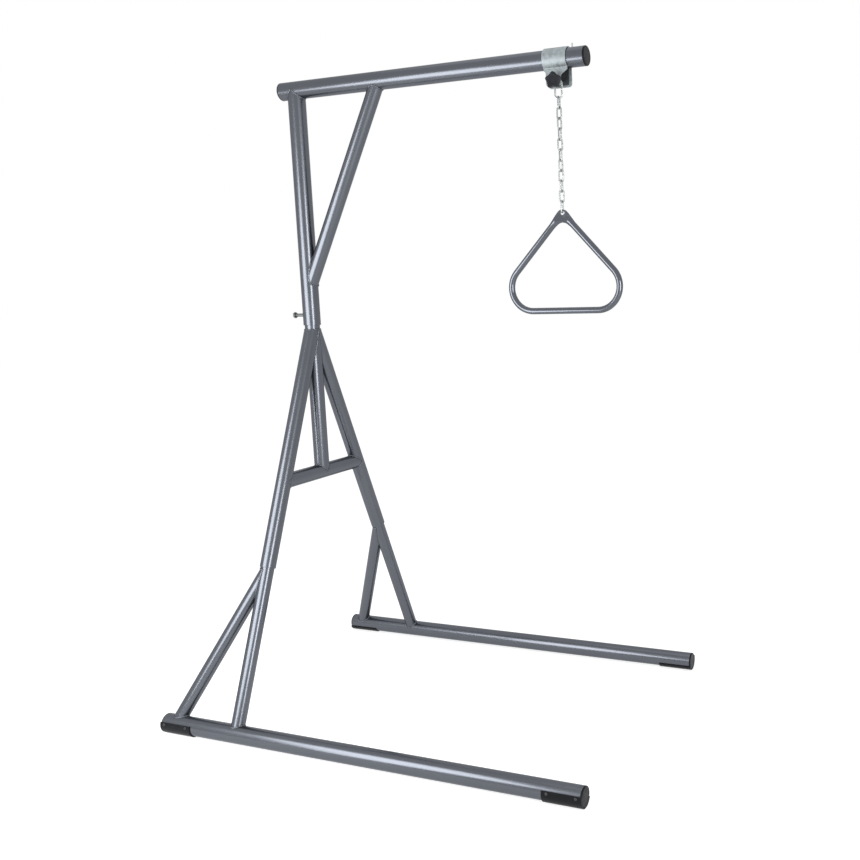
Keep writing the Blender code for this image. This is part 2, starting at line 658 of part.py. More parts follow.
def build_chain(material):
    lift = CLAMP_BOLT_OD / 2 + GAP + TOP_LINK_WIRE / 2
    mesh = link_mesh(TOP_LINK_LENGTH, TOP_LINK_WIDTH, TOP_LINK_WIRE, lift)
    finish("top_link", mesh, material, Matrix.Translation((CLAMP_X, 0, CLAMP_BOLT_Z)), WIRE_SMOOTH_ANGLE)
    joints, _ = chain_joints()
    for number, height, turn in joints:
        held_by = TOP_LINK_WIRE if number == 1 else LINK_WIRE
        mesh = link_mesh(LINK_LENGTH, LINK_WIDTH, LINK_WIRE, (held_by + LINK_WIRE) / 2 + GAP)
        place = Matrix.Translation((CLAMP_X, 0, height)) @ Matrix.Rotation(math.radians(turn), 4, "Z")
        finish("chain_link_%02d" % number, mesh, material, place, WIRE_SMOOTH_ANGLE)


def eye_drop():
    """How far the eye hole's centre hangs below the middle of the wire that carries it.

    The hole's upper edge rests on the last link's lower bend, which curls up past both faces of the eye.
    """
    bend = LINK_WIDTH / 2 - LINK_WIRE
    half_thickness = 2 * EYE_HALF_THICKNESS + GAP / 2 + GAP
    rise = bend - math.sqrt(max(bend ** 2 - half_thickness ** 2, 0.0))
    edge = math.sqrt(EYE_HOLE_RADIUS ** 2 - (LINK_WIRE / 2) ** 2)
    return edge - LINK_WIRE / 2 - rise


def handle_half():
    """One half of the handle's tube, from its flattened end at the eye to the middle of the bar.

    Each station holds its point, its outward direction in the handle's plane, its half width and half
    thickness, how square its section is, and its offset from the plane. The eye hole's centre is the origin.
    """
    tube = HANDLE_TUBE_OD / 2
    bend = Vector((-(HANDLE_WIDTH / 2 - tube - HANDLE_BEND_RADIUS), 0, HANDLE_BEND_RADIUS - HANDLE_DROP))
    distance = bend.length
    slant = math.atan2(-bend.x, -bend.z) + math.asin(HANDLE_BEND_RADIUS / distance)
    down = Vector((-math.sin(slant), 0, -math.cos(slant)))
    outward = Vector((-math.cos(slant), 0, math.sin(slant)))
    aside = EYE_HALF_THICKNESS + GAP / 2
    sunk = -UP * EYE_SINK
    stations = []
    for k in range(1, EYE_STEPS + 1):
        turn = math.pi / 2 * k / EYE_STEPS
        stations.append((sunk - down * (EYE_RADIUS * math.cos(turn)), outward, EYE_RADIUS * math.sin(turn),
                         EYE_HALF_THICKNESS, EYE_SQUARENESS, aside))
    for k in range(EYE_TAPER_STEPS + 1):
        share = k / EYE_TAPER_STEPS
        blend = share * share * (3 - 2 * share)
        place = sunk * (1 - blend) + down * (EYE_FLAT_LENGTH * blend + EYE_TAPER_LENGTH * share)
        stations.append((place, outward, EYE_RADIUS + (tube - EYE_RADIUS) * blend,
                         EYE_HALF_THICKNESS + (tube - EYE_HALF_THICKNESS) * blend,
                         EYE_SQUARENESS + (1 - EYE_SQUARENESS) * blend, aside * (1 - blend)))
    turn_total = math.pi / 2 + slant
    for k in range(HANDLE_BEND_STEPS + 1):
        direction = Matrix.Rotation(-turn_total * k / HANDLE_BEND_STEPS, 3, "Y") @ outward
        stations.append((bend + direction * HANDLE_BEND_RADIUS, direction, tube, tube, 1.0, 0.0))
    return stations


def signed_power(value, exponent):
    return math.copysign(abs(value) ** exponent, value)


def build_handle(material):
    """The pull handle: one tube bent to a triangle, its ends flattened, crossed and drilled at the top."""
    rings = []
    for mirrored in (False, True):
        half = []
        for point, outward, width, thickness, square, aside in handle_half():
            section = []
            for index in range(HANDLE_SIDES):
                angle = 2 * math.pi * (index + 0.5) / HANDLE_SIDES
                across = outward * (width * signed_power(math.cos(angle), square))
                depth = thickness * signed_power(math.sin(angle), square) - aside
                place = point + across + LEFT * depth
                section.append(Vector((-place.x, -place.y, place.z)) if mirrored else place)
            half.append([section[-index] for index in range(HANDLE_SIDES)] if mirrored else section)
        rings += reversed(half) if mirrored else half
    _, wire_height = chain_joints()
    mesh = loft(rings)
    bmesh.ops.translate(mesh, vec=-UP * eye_drop(), verts=mesh.verts)
    handle = finish("pull_handle", mesh, material, Matrix.Translation((CLAMP_X, 0, wire_height)),
                    HANDLE_SMOOTH_ANGLE)
    eye = Vector((CLAMP_X, 0, wire_height - eye_drop()))
    reach = LEFT * (4 * EYE_HALF_THICKNESS)
    hole = Pipe(eye - reach, eye + reach, 2 * EYE_HOLE_RADIUS)
    cut(handle, hole.cutter("eye_hole", clearance=0.0, sides=HEX_SIDES))


def main():
    clear_scene()
    materials = make_materials()
    pipes = frame_pipes()
    overrun = 2 * RAIL_OD
    cutters = {name: pipe.cutter(name + "_cutter", overrun) for name, pipe in pipes.items() if name != "post"}
    cutters["post"] = pipes["post"].cutter("post_cutter")
    cutters["clamp_bolt"] = clamp_bolt_pipe().cutter("clamp_bolt_cutter", sides=CLAMP_BOLT_SIDES)
    build_a_frame(pipes, cutters, materials)
    for side, word in ((1, "left"), (-1, "right")):
        build_side_frame(word, side, pipes, cutters, materials)
    build_mast_group(pipes, cutters, materials)
    build_lock_bolt(materials["zinc"])
    build_clamp_fasteners(build_clamp(cutters, materials), cutters, materials)
    build_chain(materials["zinc"])
    build_handle(materials["frame_paint"])


main()
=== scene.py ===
import math

import bmesh
import bpy
from bpy.props import FloatProperty, FloatVectorProperty, IntProperty, PointerProperty
from bpy.types import Operator, Panel, PropertyGroup
from mathutils import Matrix, Quaternion, Vector


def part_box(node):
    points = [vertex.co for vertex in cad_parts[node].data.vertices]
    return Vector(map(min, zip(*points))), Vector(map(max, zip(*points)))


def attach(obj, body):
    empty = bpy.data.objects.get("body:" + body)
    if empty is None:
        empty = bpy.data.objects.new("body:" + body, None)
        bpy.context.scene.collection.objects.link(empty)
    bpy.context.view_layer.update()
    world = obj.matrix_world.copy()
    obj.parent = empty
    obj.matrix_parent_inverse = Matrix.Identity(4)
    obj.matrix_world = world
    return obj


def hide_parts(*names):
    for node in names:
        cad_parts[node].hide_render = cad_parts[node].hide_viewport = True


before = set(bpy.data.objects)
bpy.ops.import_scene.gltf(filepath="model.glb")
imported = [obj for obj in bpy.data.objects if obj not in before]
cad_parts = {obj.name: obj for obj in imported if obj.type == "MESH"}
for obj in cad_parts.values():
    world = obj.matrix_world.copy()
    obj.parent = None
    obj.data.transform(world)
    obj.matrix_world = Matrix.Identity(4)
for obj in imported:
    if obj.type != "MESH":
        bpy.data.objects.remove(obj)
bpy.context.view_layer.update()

bl_info = {
    "name": "Freestanding trapeze",
    "version": (1, 0, 0),
    "blender": (4, 5, 0),
    "location": "View3D > Sidebar > Trapeze",
    "description": "Dresses a freestanding trapeze's frame with tubes, welds, pads, clamp, chain and handle",
    "category": "Object",
}

FORWARD = Vector((1, 0, 0))
LEFT = Vector((0, 1, 0))
UP = Vector((0, 0, 1))
SIDES = ((1, "left"), (-1, "right"))
SQUARE = ((-1, -1), (1, -1), (1, 1), (-1, 1))

# Sizes of the part that its boxes don't give
GAP = 0.0003
THICK_WALL = 0.00277             # of the mast and the upper legs
POST_WALL = 0.0024               # of the centre post and the lower legs
THIN_WALL = 0.0020               # of the other tubes
STUB_OD = 0.0381                 # of the lower legs and the side braces
STUB_INSERTION = 0.120           # of the lower legs into the upper ones
SLEEVE_END = 0.4530              # height where the legs' axes leave their sleeves
LEG_INSET = 0.0027               # from the middle plane to the legs' axes at the apex
SIDE_BRACE_FOOT = 0.2128         # along the rail, from the leg's axis to the side brace's
SIDE_BRACE_TOP = 0.4516          # along the leg, from the rail's axis to the side brace's
BRACE_FOOT = 1.2420              # height where the boom brace's axis meets the mast's
BRACE_REACH = 0.2820             # along the boom, from the mast's axis to the brace's
TREAD_WEAR = 0.0007              # taken off the round pads by their flat tread
PAD_TURN = math.radians(24.0)    # of the pads' edges, outwards about the rail
PAD_EDGE = 0.0010                # rounding of the pads' edges
SCREW_ANGLES = (("outer", 11.0), ("inner", -143.0))
LOCK_SHANK = 0.0049              # radius of the lock bolt's shank
LOCK_FLATS = 0.0160
LOCK_HEAD = 0.0064
STRAP_THICKNESS = 0.0030
EAR_MIDDLE = 0.0145              # from the middle plane to the middle of an ear's sheet
EAR_CORNER = 0.0090
NECK_DROP = 0.0300               # from the boom's axis to where the near ear starts to narrow
NEAR_EAR_NECK = 0.0435           # from the boom's axis to the near ear's narrowest place
NEAR_EAR_ROUND = 0.0145          # radius of the near ear's end round the bolt
NEAR_EAR_REAR = 0.0280           # from the bolt back to the near ear's rear edge
NUT_FLATS = 0.0130
KNOB_HUB = 0.0060                # height of the star knob's hub
STAR_HOLLOW = 0.01695            # from the knob's axis to its hollows
STAR_LOBE = 0.0048               # from the hollows out to the lobes
LINK_LENGTH = 0.0354
LINK_WIDTH = 0.0165
LINK_WIRE = 0.0042
LINK_TWIST = {2: -6.0, 3: -26.0, 4: -36.0, 5: -41.0, 6: -40.0, 7: -20.0, 8: -4.0}
HANDLE_TUBE = 0.0175 / 2         # radius of the handle's tube
HANDLE_DROP = 0.2590             # from the eye hole's centre to the bar's axis
HANDLE_BEND = 0.0630
EYE_RADIUS = 0.0178              # of each tube end, flattened to a disc
EYE_SINK = 0.0090                # from the eye hole's centre down to the discs'
EYE_HOLE = 0.0060
EYE_FLAT = 0.0016                # half thickness of a flattened end
EYE_ASIDE = 0.00175              # from the middle plane to the middle of a flattened end
EYE_LENGTH = 0.0100              # from the eye hole's centre to where the section starts to narrow
EYE_TAPER = 0.0380
EYE_SQUARENESS = 0.90            # of the flattened section: 1 is an ellipse and 0 a rectangle
SHOULDER = 0.55                  # share of the taper over which the tube comes to its full thickness


def centre(node):
    low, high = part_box(node)
    return (low + high) / 2


def extent(node, axis):
    low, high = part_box(node)
    return high[axis] - low[axis]


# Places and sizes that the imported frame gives
MAST_X = centre("mast").x
BOOM_Z = centre("boom").z
RAIL_Z = centre("left_rail").z
RAIL_Y = centre("left_rail").y
RAIL_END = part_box("left_rail")[1].x
APEX_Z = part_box("left_upper_leg")[1].z
RAIL_OD = extent("left_rail", 2)
MAST_OD = extent("mast", 0)
POST_OD = extent("centre_post", 0)
BOOM_OD = extent("boom", 1)
CLAMP = centre("boom_clamp")
PAD_OUTSIDE = RAIL_Z + TREAD_WEAR
BOLT_Z = centre("clamp_bolt").z
BOLT_OD = extent("clamp_bolt", 0)


class TrapezeSizes(PropertyGroup):
    """Sizes of the details that the frame leaves open."""
    tube_sides: IntProperty(name="Tube sides", description="Faces round a tube", default=64, min=16, max=128)
    rim: FloatProperty(name="Rim", description="Rounding of the tubes' cut ends", default=0.0004,
                       unit="LENGTH")
    weld: FloatProperty(name="Weld", description="Half width of a weld bead", default=0.0026, unit="LENGTH")
    ripple: FloatProperty(name="Ripple", description="Length of one ripple of a weld bead", default=0.0030,
                          unit="LENGTH")
    pitch: FloatProperty(name="Thread pitch", description="Pitch of the clamp bolt's thread", default=0.00125,
                         unit="LENGTH")
    lock_pitch: FloatProperty(name="Lock thread pitch", description="Pitch of the lock bolt's thread",
                              default=0.0015, unit="LENGTH")
    strap_bend: FloatProperty(name="Strap bend", default=0.0040, unit="LENGTH",
                              description="Radius where the strap turns down into its ears")
    link_weld: FloatProperty(name="Link weld", description="Growth of a link's wire at its weld, as a share",
                             default=0.16, subtype="FACTOR")


class TrapezeFinish(PropertyGroup):
    """Colours of the finishes."""
    paint: FloatVectorProperty(name="Paint", description="Metallic grey powder coat of the tubes",
                               subtype="COLOR", default=(0.100, 0.108, 0.125), min=0, max=1)
    plastic: FloatVectorProperty(name="Plastic", description="Moulded pads, plugs and knob",
                                 subtype="COLOR", default=(0.0064, 0.0070, 0.0084), min=0, max=1)
    zinc: FloatVectorProperty(name="Zinc", description="Zinc plate of the chain and fasteners",
                              subtype="COLOR", default=(0.40, 0.42, 0.42), min=0, max=1)
    steel: FloatVectorProperty(name="Steel", description="Blackened steel of the pads' screws",
                               subtype="COLOR", default=(0.050, 0.050, 0.053), min=0, max=1)
    galvanised: FloatVectorProperty(name="Galvanised", description="Spangled zinc of the boom clamp",
                                    subtype="COLOR", default=(0.30, 0.335, 0.35), min=0, max=1)


class StudioSettings(PropertyGroup):
    """Camera and light."""
    eye: FloatVectorProperty(name="Camera", description="Place of the camera", subtype="TRANSLATION",
                             default=(1.51479, -2.43837, 1.22494), unit="LENGTH")
    yaw: FloatProperty(name="Yaw", description="Turn of the camera from the depth axis to the left",
                       default=math.radians(21.69), subtype="ANGLE")
    pitch: FloatProperty(name="Pitch", description="Tilt of the camera below the horizon",
                         default=math.radians(8.17), subtype="ANGLE")
    roll: FloatProperty(name="Roll", description="Turn of the camera about its view",
                        default=math.radians(-1.54), subtype="ANGLE")
    lens: FloatProperty(name="Lens", description="Focal length on a sensor 36 mm wide", default=40.97,
                        subtype="DISTANCE_CAMERA")
    backdrop: FloatProperty(name="Backdrop", description="Strength of the white that the camera sees",
                            default=1.0, min=0, max=1)
    fill: FloatProperty(name="Fill", description="Strength of the light from all round", default=0.60, min=0)


class Value:
    """A number inside a material. Arithmetic on it adds Math nodes."""

    def __init__(self, finish, socket):
        self.finish = finish
        self.socket = socket

    def maths(self, operation, first, second=0.0):
        return self.finish.node("ShaderNodeMath", "Value", {"operation": operation}, {0: first, 1: second})

    def __add__(self, other):
        return self.maths("ADD", self, other)

    def __radd__(self, other):
        return self.maths("ADD", other, self)

    def __sub__(self, other):
        return self.maths("SUBTRACT", self, other)

    def __rsub__(self, other):
        return self.maths("SUBTRACT", other, self)

    def __mul__(self, other):
        return self.maths("MULTIPLY", self, other)

    def __rmul__(self, other):
        return self.maths("MULTIPLY", other, self)


class Finish:
    """A Principled material, built node by node on Object coordinates."""

    def __init__(self, name, **constants):
        self.material = bpy.data.materials.new(name)
        self.material.use_nodes = True
        self.tree = self.material.node_tree
        self.shader = self.tree.nodes["Principled BSDF"]
        for socket, value in constants.items():
            self.shader.inputs[socket.replace("_", " ")].default_value = value
        self.place = self.node("ShaderNodeTexCoord", "Object")

    def node(self, kind, output, settings=None, sockets=None):
        """Adds a node with its settings, then its sockets' values or links, and gives its output."""
        node = self.tree.nodes.new(kind)
        for key, value in (settings or {}).items():
            if key == "stops":
                for element, (position, colour) in zip(node.color_ramp.elements, value):
                    element.position = position
                    element.color = colour
            else:
                setattr(node, key, value)
        for key, value in (sockets or {}).items():
            if isinstance(value, Value):
                self.tree.links.new(value.socket, node.inputs[key])
            else:
                node.inputs[key].default_value = value
        return Value(self, node.outputs[output])

    def noise(self, scale, detail=3.0, place=None):
        return self.node("ShaderNodeTexNoise", "Fac", None,
                         {"Vector": place or self.place, "Scale": scale, "Detail": detail})

    def step(self, value, low, high):
        """0 below low, 1 above high, and smooth between."""
        return self.node("ShaderNodeMapRange", "Result", {"interpolation_type": "SMOOTHSTEP"},
                         {"Value": value, "From Min": low, "From Max": high})

    def mix(self, factor, first, second):
        return self.node("ShaderNodeMix", 2, {"data_type": "RGBA"}, {0: factor, 6: first, 7: second})

    def set(self, socket, value):
        self.tree.links.new(value.socket, self.shader.inputs[socket])

    def bump(self, height, distance, strength=1.0):
        self.set("Normal", self.node("ShaderNodeBump", "Normal", None,
                                     {"Height": height, "Distance": distance, "Strength": strength}))


def rgba(colour, gain=1.0):
    return (*[min(1.0, part * gain) for part in colour], 1.0)


def metallic_paint(name, gloss, relief):
    """Grey powder coat with fine metal flakes, slightly cloudy, with a little orange peel and gloss."""
    colours = bpy.context.scene.trapeze_finish
    paint = Finish(name, Metallic=0.92, Coat_Weight=0.25, Coat_Roughness=0.08,
                   Specular_Tint=rgba((0.55, 0.56, 0.58)))
    cells = paint.node("ShaderNodeTexVoronoi", "Color", None, {"Vector": paint.place, "Scale": 1400.0})
    flake = paint.node("ShaderNodeSeparateColor", "Red", None, {"Color": cells})
    cloud = paint.noise(9.0, 4.0)
    paint.set("Base Color", paint.mix(flake * 0.35 + cloud * 0.65, rgba(colours.paint, 0.86),
                                      rgba(colours.paint, 1.14)))
    paint.set("Roughness", gloss + cloud * 0.05)
    paint.bump(paint.noise(90.0, 2.0), relief, 0.20)
    return paint.material


def moulded_plastic(name, gain):
    """Satin black plastic with a fine moulded grain and dull scuffs."""
    colours = bpy.context.scene.trapeze_finish
    plastic = Finish(name, Specular_IOR_Level=0.10)
    grain = plastic.node("ShaderNodeTexVoronoi", "Distance", {"feature": "SMOOTH_F1"},
                         {"Vector": plastic.place, "Scale": 1500.0})
    scuff = plastic.step(plastic.noise(60.0, 6.0), 0.50, 0.72)
    cloud = plastic.noise(25.0, 3.0)
    plastic.set("Base Color", plastic.mix(scuff * 0.5 + cloud * 0.3, rgba(colours.plastic, gain),
                                          rgba(colours.plastic, 1.9 * gain)))
    plastic.set("Roughness", 0.34 + cloud * 0.10 + scuff * 0.16)
    plastic.bump(grain, 0.00004, 0.5)
    return plastic.material


def zinc_plate(name, gain, gloss):
    """Zinc plate with faint stains and fine scratches from handling."""
    colours = bpy.context.scene.trapeze_finish
    zinc = Finish(name, Metallic=1.0)
    cloud = zinc.noise(180.0, 4.0)
    stain = zinc.step(zinc.noise(260.0, 5.0), 0.50, 0.74)
    plain = zinc.mix(cloud, rgba(colours.zinc, 0.82 * gain), rgba(colours.zinc, 1.18 * gain))
    zinc.set("Base Color", zinc.mix(stain * 0.35, plain, rgba(colours.zinc, 0.50 * gain)))
    zinc.set("Roughness", gloss + cloud * 0.12 + stain * 0.12)
    zinc.bump(zinc.noise(900.0, 3.0), 0.00003, 0.4)
    return zinc.material


def black_steel():
    """Blackened steel, a little brighter where it is rubbed."""
    colours = bpy.context.scene.trapeze_finish
    steel = Finish("black_steel", Metallic=0.9)
    cloud = steel.noise(300.0, 5.0)
    steel.set("Base Color", steel.mix(cloud, rgba(colours.steel, 0.6), rgba(colours.steel, 1.8)))
    steel.set("Roughness", 0.26 + cloud * 0.16)
    steel.bump(steel.noise(1100.0, 3.0), 0.00003, 0.4)
    return steel.material


def spangled_zinc():
    """Galvanised sheet: crystals of slightly different grey, and painted shade darkening the sheet between
    the ears' inner faces.
    """
    colours = bpy.context.scene.trapeze_finish
    sheet = Finish("spangled_zinc", Metallic=0.9)
    bend = sheet.node("ShaderNodeTexNoise", "Color", None,
                      {"Vector": sheet.place, "Scale": 160.0, "Detail": 3.0})
    warped = sheet.node("ShaderNodeVectorMath", "Vector", {"operation": "MULTIPLY_ADD"},
                        {0: bend, 1: (0.005, 0.005, 0.005), 2: sheet.place})
    cells = sheet.node("ShaderNodeTexVoronoi", "Color", None, {"Vector": warped, "Scale": 130.0})
    crystal = sheet.node("ShaderNodeSeparateColor", "Green", None, {"Color": cells})
    cloud = sheet.noise(70.0, 5.0)
    across = sheet.node("ShaderNodeSeparateXYZ", "Y", None, {"Vector": sheet.place})
    across = sheet.node("ShaderNodeMath", "Value", {"operation": "ABSOLUTE"}, {0: across})
    along = sheet.node("ShaderNodeSeparateXYZ", "X", None, {"Vector": sheet.place})
    up = sheet.node("ShaderNodeSeparateXYZ", "Z", None, {"Vector": sheet.place})
    rim = CLAMP.x + extent("boom_clamp", 0) / 2 - 0.0085
    lower_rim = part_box("boom_clamp")[0].z + 0.0045
    ear_face = EAR_MIDDLE - STRAP_THICKNESS / 2
    # Painted shade: the sheet nearer the middle plane than the ears' inner faces, short of the front edge and
    # above the lower edge, stands in for the shade that falls between the ears
    inside = 1 - sheet.step(across, ear_face + 0.0001, ear_face + 0.0007)
    inside *= 1 - sheet.step(along, rim, rim + 0.0020)
    inside *= sheet.step(up, lower_rim, lower_rim + 0.0020)
    plain = sheet.mix(crystal * 0.5 + cloud * 0.5, rgba(colours.galvanised, 0.66),
                      rgba(colours.galvanised, 1.34))
    # The painted shade mask darkens the base colour towards a tenth of the zinc's colour
    sheet.set("Base Color", sheet.mix(inside * 0.85, plain, rgba(colours.galvanised, 0.10)))
    sheet.set("Roughness", 0.46 + crystal * 0.14 + cloud * 0.08)
    sheet.bump(crystal * 0.4 + sheet.noise(500.0, 4.0), 0.00006, 0.4)
    return sheet.material


MATERIALS = {
    "metallic grey paint": lambda: metallic_paint("metallic_grey_paint", 0.235, 0.00005),
    "painted weld": lambda: metallic_paint("painted_weld", 0.20, 0.00010),
    "glossy grey paint": lambda: metallic_paint("glossy_grey_paint", 0.15, 0.00003),
    "moulded plastic": lambda: moulded_plastic("moulded_plastic", 1.0),
    "knob plastic": lambda: moulded_plastic("knob_plastic", 2.4),
    "bright zinc": lambda: zinc_plate("bright_zinc", 1.30, 0.22),
    "chain zinc": lambda: zinc_plate("chain_zinc", 0.92, 0.24),
    "dull zinc": lambda: zinc_plate("dull_zinc", 0.32, 0.30),
    "black steel": black_steel,
    "spangled zinc": spangled_zinc,
}


def material_of(finish):
    found = bpy.data.materials.get(finish)
    if found is None:
        found = MATERIALS[finish]()
        found.name = finish
    return found


def select_only(item):
    bpy.ops.object.select_all(action="DESELECT")
    item.select_set(True)
    bpy.context.view_layer.objects.active = item


def hand_over(item, finish, body, nodes=(), angle=35.0):
    """Settles a piece's place into its mesh, smooths and paints it, and hangs it on its body."""
    select_only(item)
    bpy.ops.object.transform_apply(location=True, rotation=True, scale=True)
    bpy.ops.object.shade_smooth_by_angle(angle=math.radians(angle))
    item.data.materials.clear()
    item.data.materials.append(material_of(finish))
    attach(item, body)
    if nodes:
        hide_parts(*nodes)
    return item


def basis(start, direction):
    """A matrix at start whose Z axis is direction, with X as near to forward as it can be."""
    z_axis = direction.normalized()
    hint = LEFT if abs(z_axis.dot(FORWARD)) > 0.99 else FORWARD
    y_axis = z_axis.cross(hint).normalized()
    turn = Matrix((y_axis.cross(z_axis), y_axis, z_axis)).transposed()
    return Matrix.Translation(start) @ turn.to_4x4()


def round_ring(place, radius, height, sides):
    """Points round Z in place. radius is a number or a function of the angle."""
    points = []
    for index in range(sides):
        angle = 2 * math.pi * index / sides
        reach = radius(angle) if callable(radius) else radius
        points.append(place @ Vector((reach * math.cos(angle), reach * math.sin(angle), height)))
    return points


def arc(radius, start, end, steps=10):
    """Points of an arc round the origin, between two angles in degrees."""
    turns = [math.radians(start + (end - start) * k / steps) for k in range(steps + 1)]
    return [(radius * math.cos(turn), radius * math.sin(turn)) for turn in turns]


def draw_solid(name, rings):
    """A solid extruded from ring to ring, each ring a list of as many points."""
    bpy.ops.object.select_all(action="DESELECT")
    bpy.ops.mesh.primitive_circle_add(vertices=len(rings[0]), radius=1, fill_type="NGON", location=(0, 0, 0))
    piece = bpy.context.object
    piece.name = name
    bpy.ops.object.mode_set(mode="EDIT")
    mesh = bmesh.from_edit_mesh(piece.data)
    corner = mesh.verts.layers.int.new("corner")
    for vert in mesh.verts:
        vert[corner] = vert.index
    for number, ring in enumerate(rings):
        if number:
            bpy.ops.mesh.extrude_region_move()
        mesh = bmesh.from_edit_mesh(piece.data)
        corner = mesh.verts.layers.int["corner"]
        for vert in mesh.verts:
            if vert.select:
                vert.co = ring[vert[corner]]
    mesh.verts.layers.int.remove(corner)
    bmesh.update_edit_mesh(piece.data)
    bpy.ops.mesh.select_all(action="SELECT")
    bpy.ops.mesh.normals_make_consistent(inside=False)
    bpy.ops.object.mode_set(mode="OBJECT")
    return piece


def turn_solid(name, place, profile, sides=48):
    """A solid round Z in place, through (radius, height) pairs. A radius may be a function of the angle."""
    return draw_solid(name, [round_ring(place, radius, height, sides) for radius, height in profile])


def add_cylinder(start, end, radius, sides):
    axis = Vector(end) - Vector(start)
    bpy.ops.object.select_all(action="DESELECT")
    bpy.ops.mesh.primitive_cylinder_add(vertices=sides, radius=radius, depth=axis.length,
                                        location=(Vector(start) + Vector(end)) / 2,
                                        rotation=axis.to_track_quat("Z", "Y").to_euler())
    return bpy.context.object


def hold_edges(planes):
    """Loops where planes cut the mesh, beside rounded edges, to keep the rounding from shading long faces."""
    for point, facing in planes:
        bpy.ops.mesh.select_all(action="SELECT")
        bpy.ops.mesh.bisect(plane_co=point, plane_no=facing)
    bpy.ops.mesh.select_all(action="SELECT")


def add_tube(name, start, end, diameter, wall, rim, sides):
    """A cylinder bored through, with its four end edges rounded."""
    tube = add_cylinder(start, end, diameter / 2, sides)
    tube.name = name
    half = (Vector(end) - Vector(start)).length / 2
    bpy.ops.object.mode_set(mode="EDIT")
    bpy.ops.mesh.select_mode(type="FACE")
    bpy.ops.mesh.select_all(action="DESELECT")
    mesh = bmesh.from_edit_mesh(tube.data)
    for face in mesh.faces:
        face.select_set(abs(face.normal.z) > 0.9)
    bmesh.update_edit_mesh(tube.data)
    bpy.ops.mesh.inset(thickness=wall)
    bpy.ops.mesh.bridge_edge_loops()
    bpy.ops.mesh.select_mode(type="EDGE")
    bpy.ops.mesh.select_all(action="DESELECT")
    mesh = bmesh.from_edit_mesh(tube.data)
    for edge in mesh.edges:
        first, second = edge.verts[0].co, edge.verts[1].co
        level = abs(first.z - second.z) < 1e-6 and abs(abs(first.z) - half) < 1e-6
        edge.select_set(level and abs(first.xy.length - second.xy.length) < 1e-6)
    bmesh.update_edit_mesh(tube.data)
    bpy.ops.mesh.bevel(offset=rim, segments=2, affect="EDGES")
    along = (Vector(end) - Vector(start)).normalized()
    hold_edges(((Vector(start) + along * 3 * rim, along), (Vector(end) - along * 3 * rim, along)))
    bpy.ops.mesh.normals_make_consistent(inside=False)
    bpy.ops.object.mode_set(mode="OBJECT")
    return tube


def apply_modifier(item, kind, **settings):
    modifier = item.modifiers.new("work", kind)
    for key, value in settings.items():
        setattr(modifier, key, value)
    select_only(item)
    bpy.ops.object.modifier_apply(modifier=modifier.name)


def carve(item, tool):
    """Cuts item by tool, and removes the tool."""
    apply_modifier(item, "BOOLEAN", operation="DIFFERENCE", solver="EXACT", object=tool)
    bpy.data.objects.remove(tool, do_unlink=True)


class Run:
    """A straight tube's axis, with what its neighbours need in order to be cut and welded to it."""

    def __init__(self, start, end, diameter, wall):
        self.start = Vector(start)
        self.end = Vector(end)
        self.radius = diameter / 2
        self.wall = wall
        self.direction = (self.end - self.start).normalized()

    def turned(self):
        """The same run from its end to its start."""
        return Run(self.end, self.start, 2 * self.radius, self.wall)

    def tube(self, name):
        sizes = bpy.context.scene.trapeze_sizes
        return add_tube(name, self.start, self.end, 2 * self.radius, self.wall, sizes.rim, sizes.tube_sides)

    def cutter(self, past=0.08):
        sizes = bpy.context.scene.trapeze_sizes
        return add_cylinder(self.start - self.direction * past, self.end + self.direction * past,
                            self.radius + GAP, sizes.tube_sides)

    def meeting(self, host, angle):
        """Where the line at an angle round this tube's skin first meets the host's skin."""
        place = basis(self.start, self.direction)
        point = place @ Vector((self.radius * math.cos(angle), self.radius * math.sin(angle), 0))
        offset = point - host.start
        offset -= host.direction * offset.dot(host.direction)
        slide = self.direction - host.direction * self.direction.dot(host.direction)
        a, b, c = slide.dot(slide), offset.dot(slide), offset.dot(offset) - host.radius ** 2
        travel = (-b - math.sqrt(max(b * b - a * c, 0.0))) / a
        return point + self.direction * travel


def leg_point(side, height):
    """The point of a leg's axis at a height, on the line from the rail's axis to the apex."""
    share = (height - RAIL_Z) / (APEX_Z - RAIL_Z)
    return Vector((MAST_X, side * (RAIL_Y + (LEG_INSET - RAIL_Y) * share), height))


def frame_runs():
    """The axes of every straight tube."""
    low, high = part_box("boom")
    runs = {
        "mast": Run((MAST_X, 0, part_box("mast")[0].z), (MAST_X, 0, BOOM_Z), MAST_OD, THICK_WALL),
        "boom": Run((low.x, 0, BOOM_Z), (high.x, 0, BOOM_Z), BOOM_OD, THIN_WALL),
        "centre_post": Run((MAST_X, 0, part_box("centre_post")[1].z), (MAST_X, 0, centre("crossbar").z),
                           POST_OD, POST_WALL),
        "boom_brace": Run((MAST_X + BRACE_REACH, 0, BOOM_Z), (MAST_X, 0, BRACE_FOOT),
                          extent("boom_brace", 1), THIN_WALL),
    }
    level = centre("crossbar").z
    runs["crossbar"] = Run(leg_point(-1, level), leg_point(1, level), extent("crossbar", 0), THIN_WALL)
    for side, word in SIDES:
        foot, sleeve_end = leg_point(side, RAIL_Z), leg_point(side, SLEEVE_END)
        axis = (sleeve_end - foot).normalized()
        leg_od = extent(word + "_upper_leg", 0)
        past_apex = leg_point(side, APEX_Z + 0.01)
        runs[word + "_upper_leg"] = Run(sleeve_end, past_apex, leg_od, THICK_WALL)
        runs[word + "_lower_leg"] = Run(sleeve_end + axis * STUB_INSERTION, foot, STUB_OD, POST_WALL)
        runs[word + "_side_brace"] = Run(foot - FORWARD * SIDE_BRACE_FOOT, foot + axis * SIDE_BRACE_TOP,
                                         STUB_OD, THIN_WALL)
        runs[word + "_rail"] = Run((-RAIL_END, side * RAIL_Y, RAIL_Z), (RAIL_END, side * RAIL_Y, RAIL_Z),
                                   RAIL_OD, THIN_WALL)
    return runs


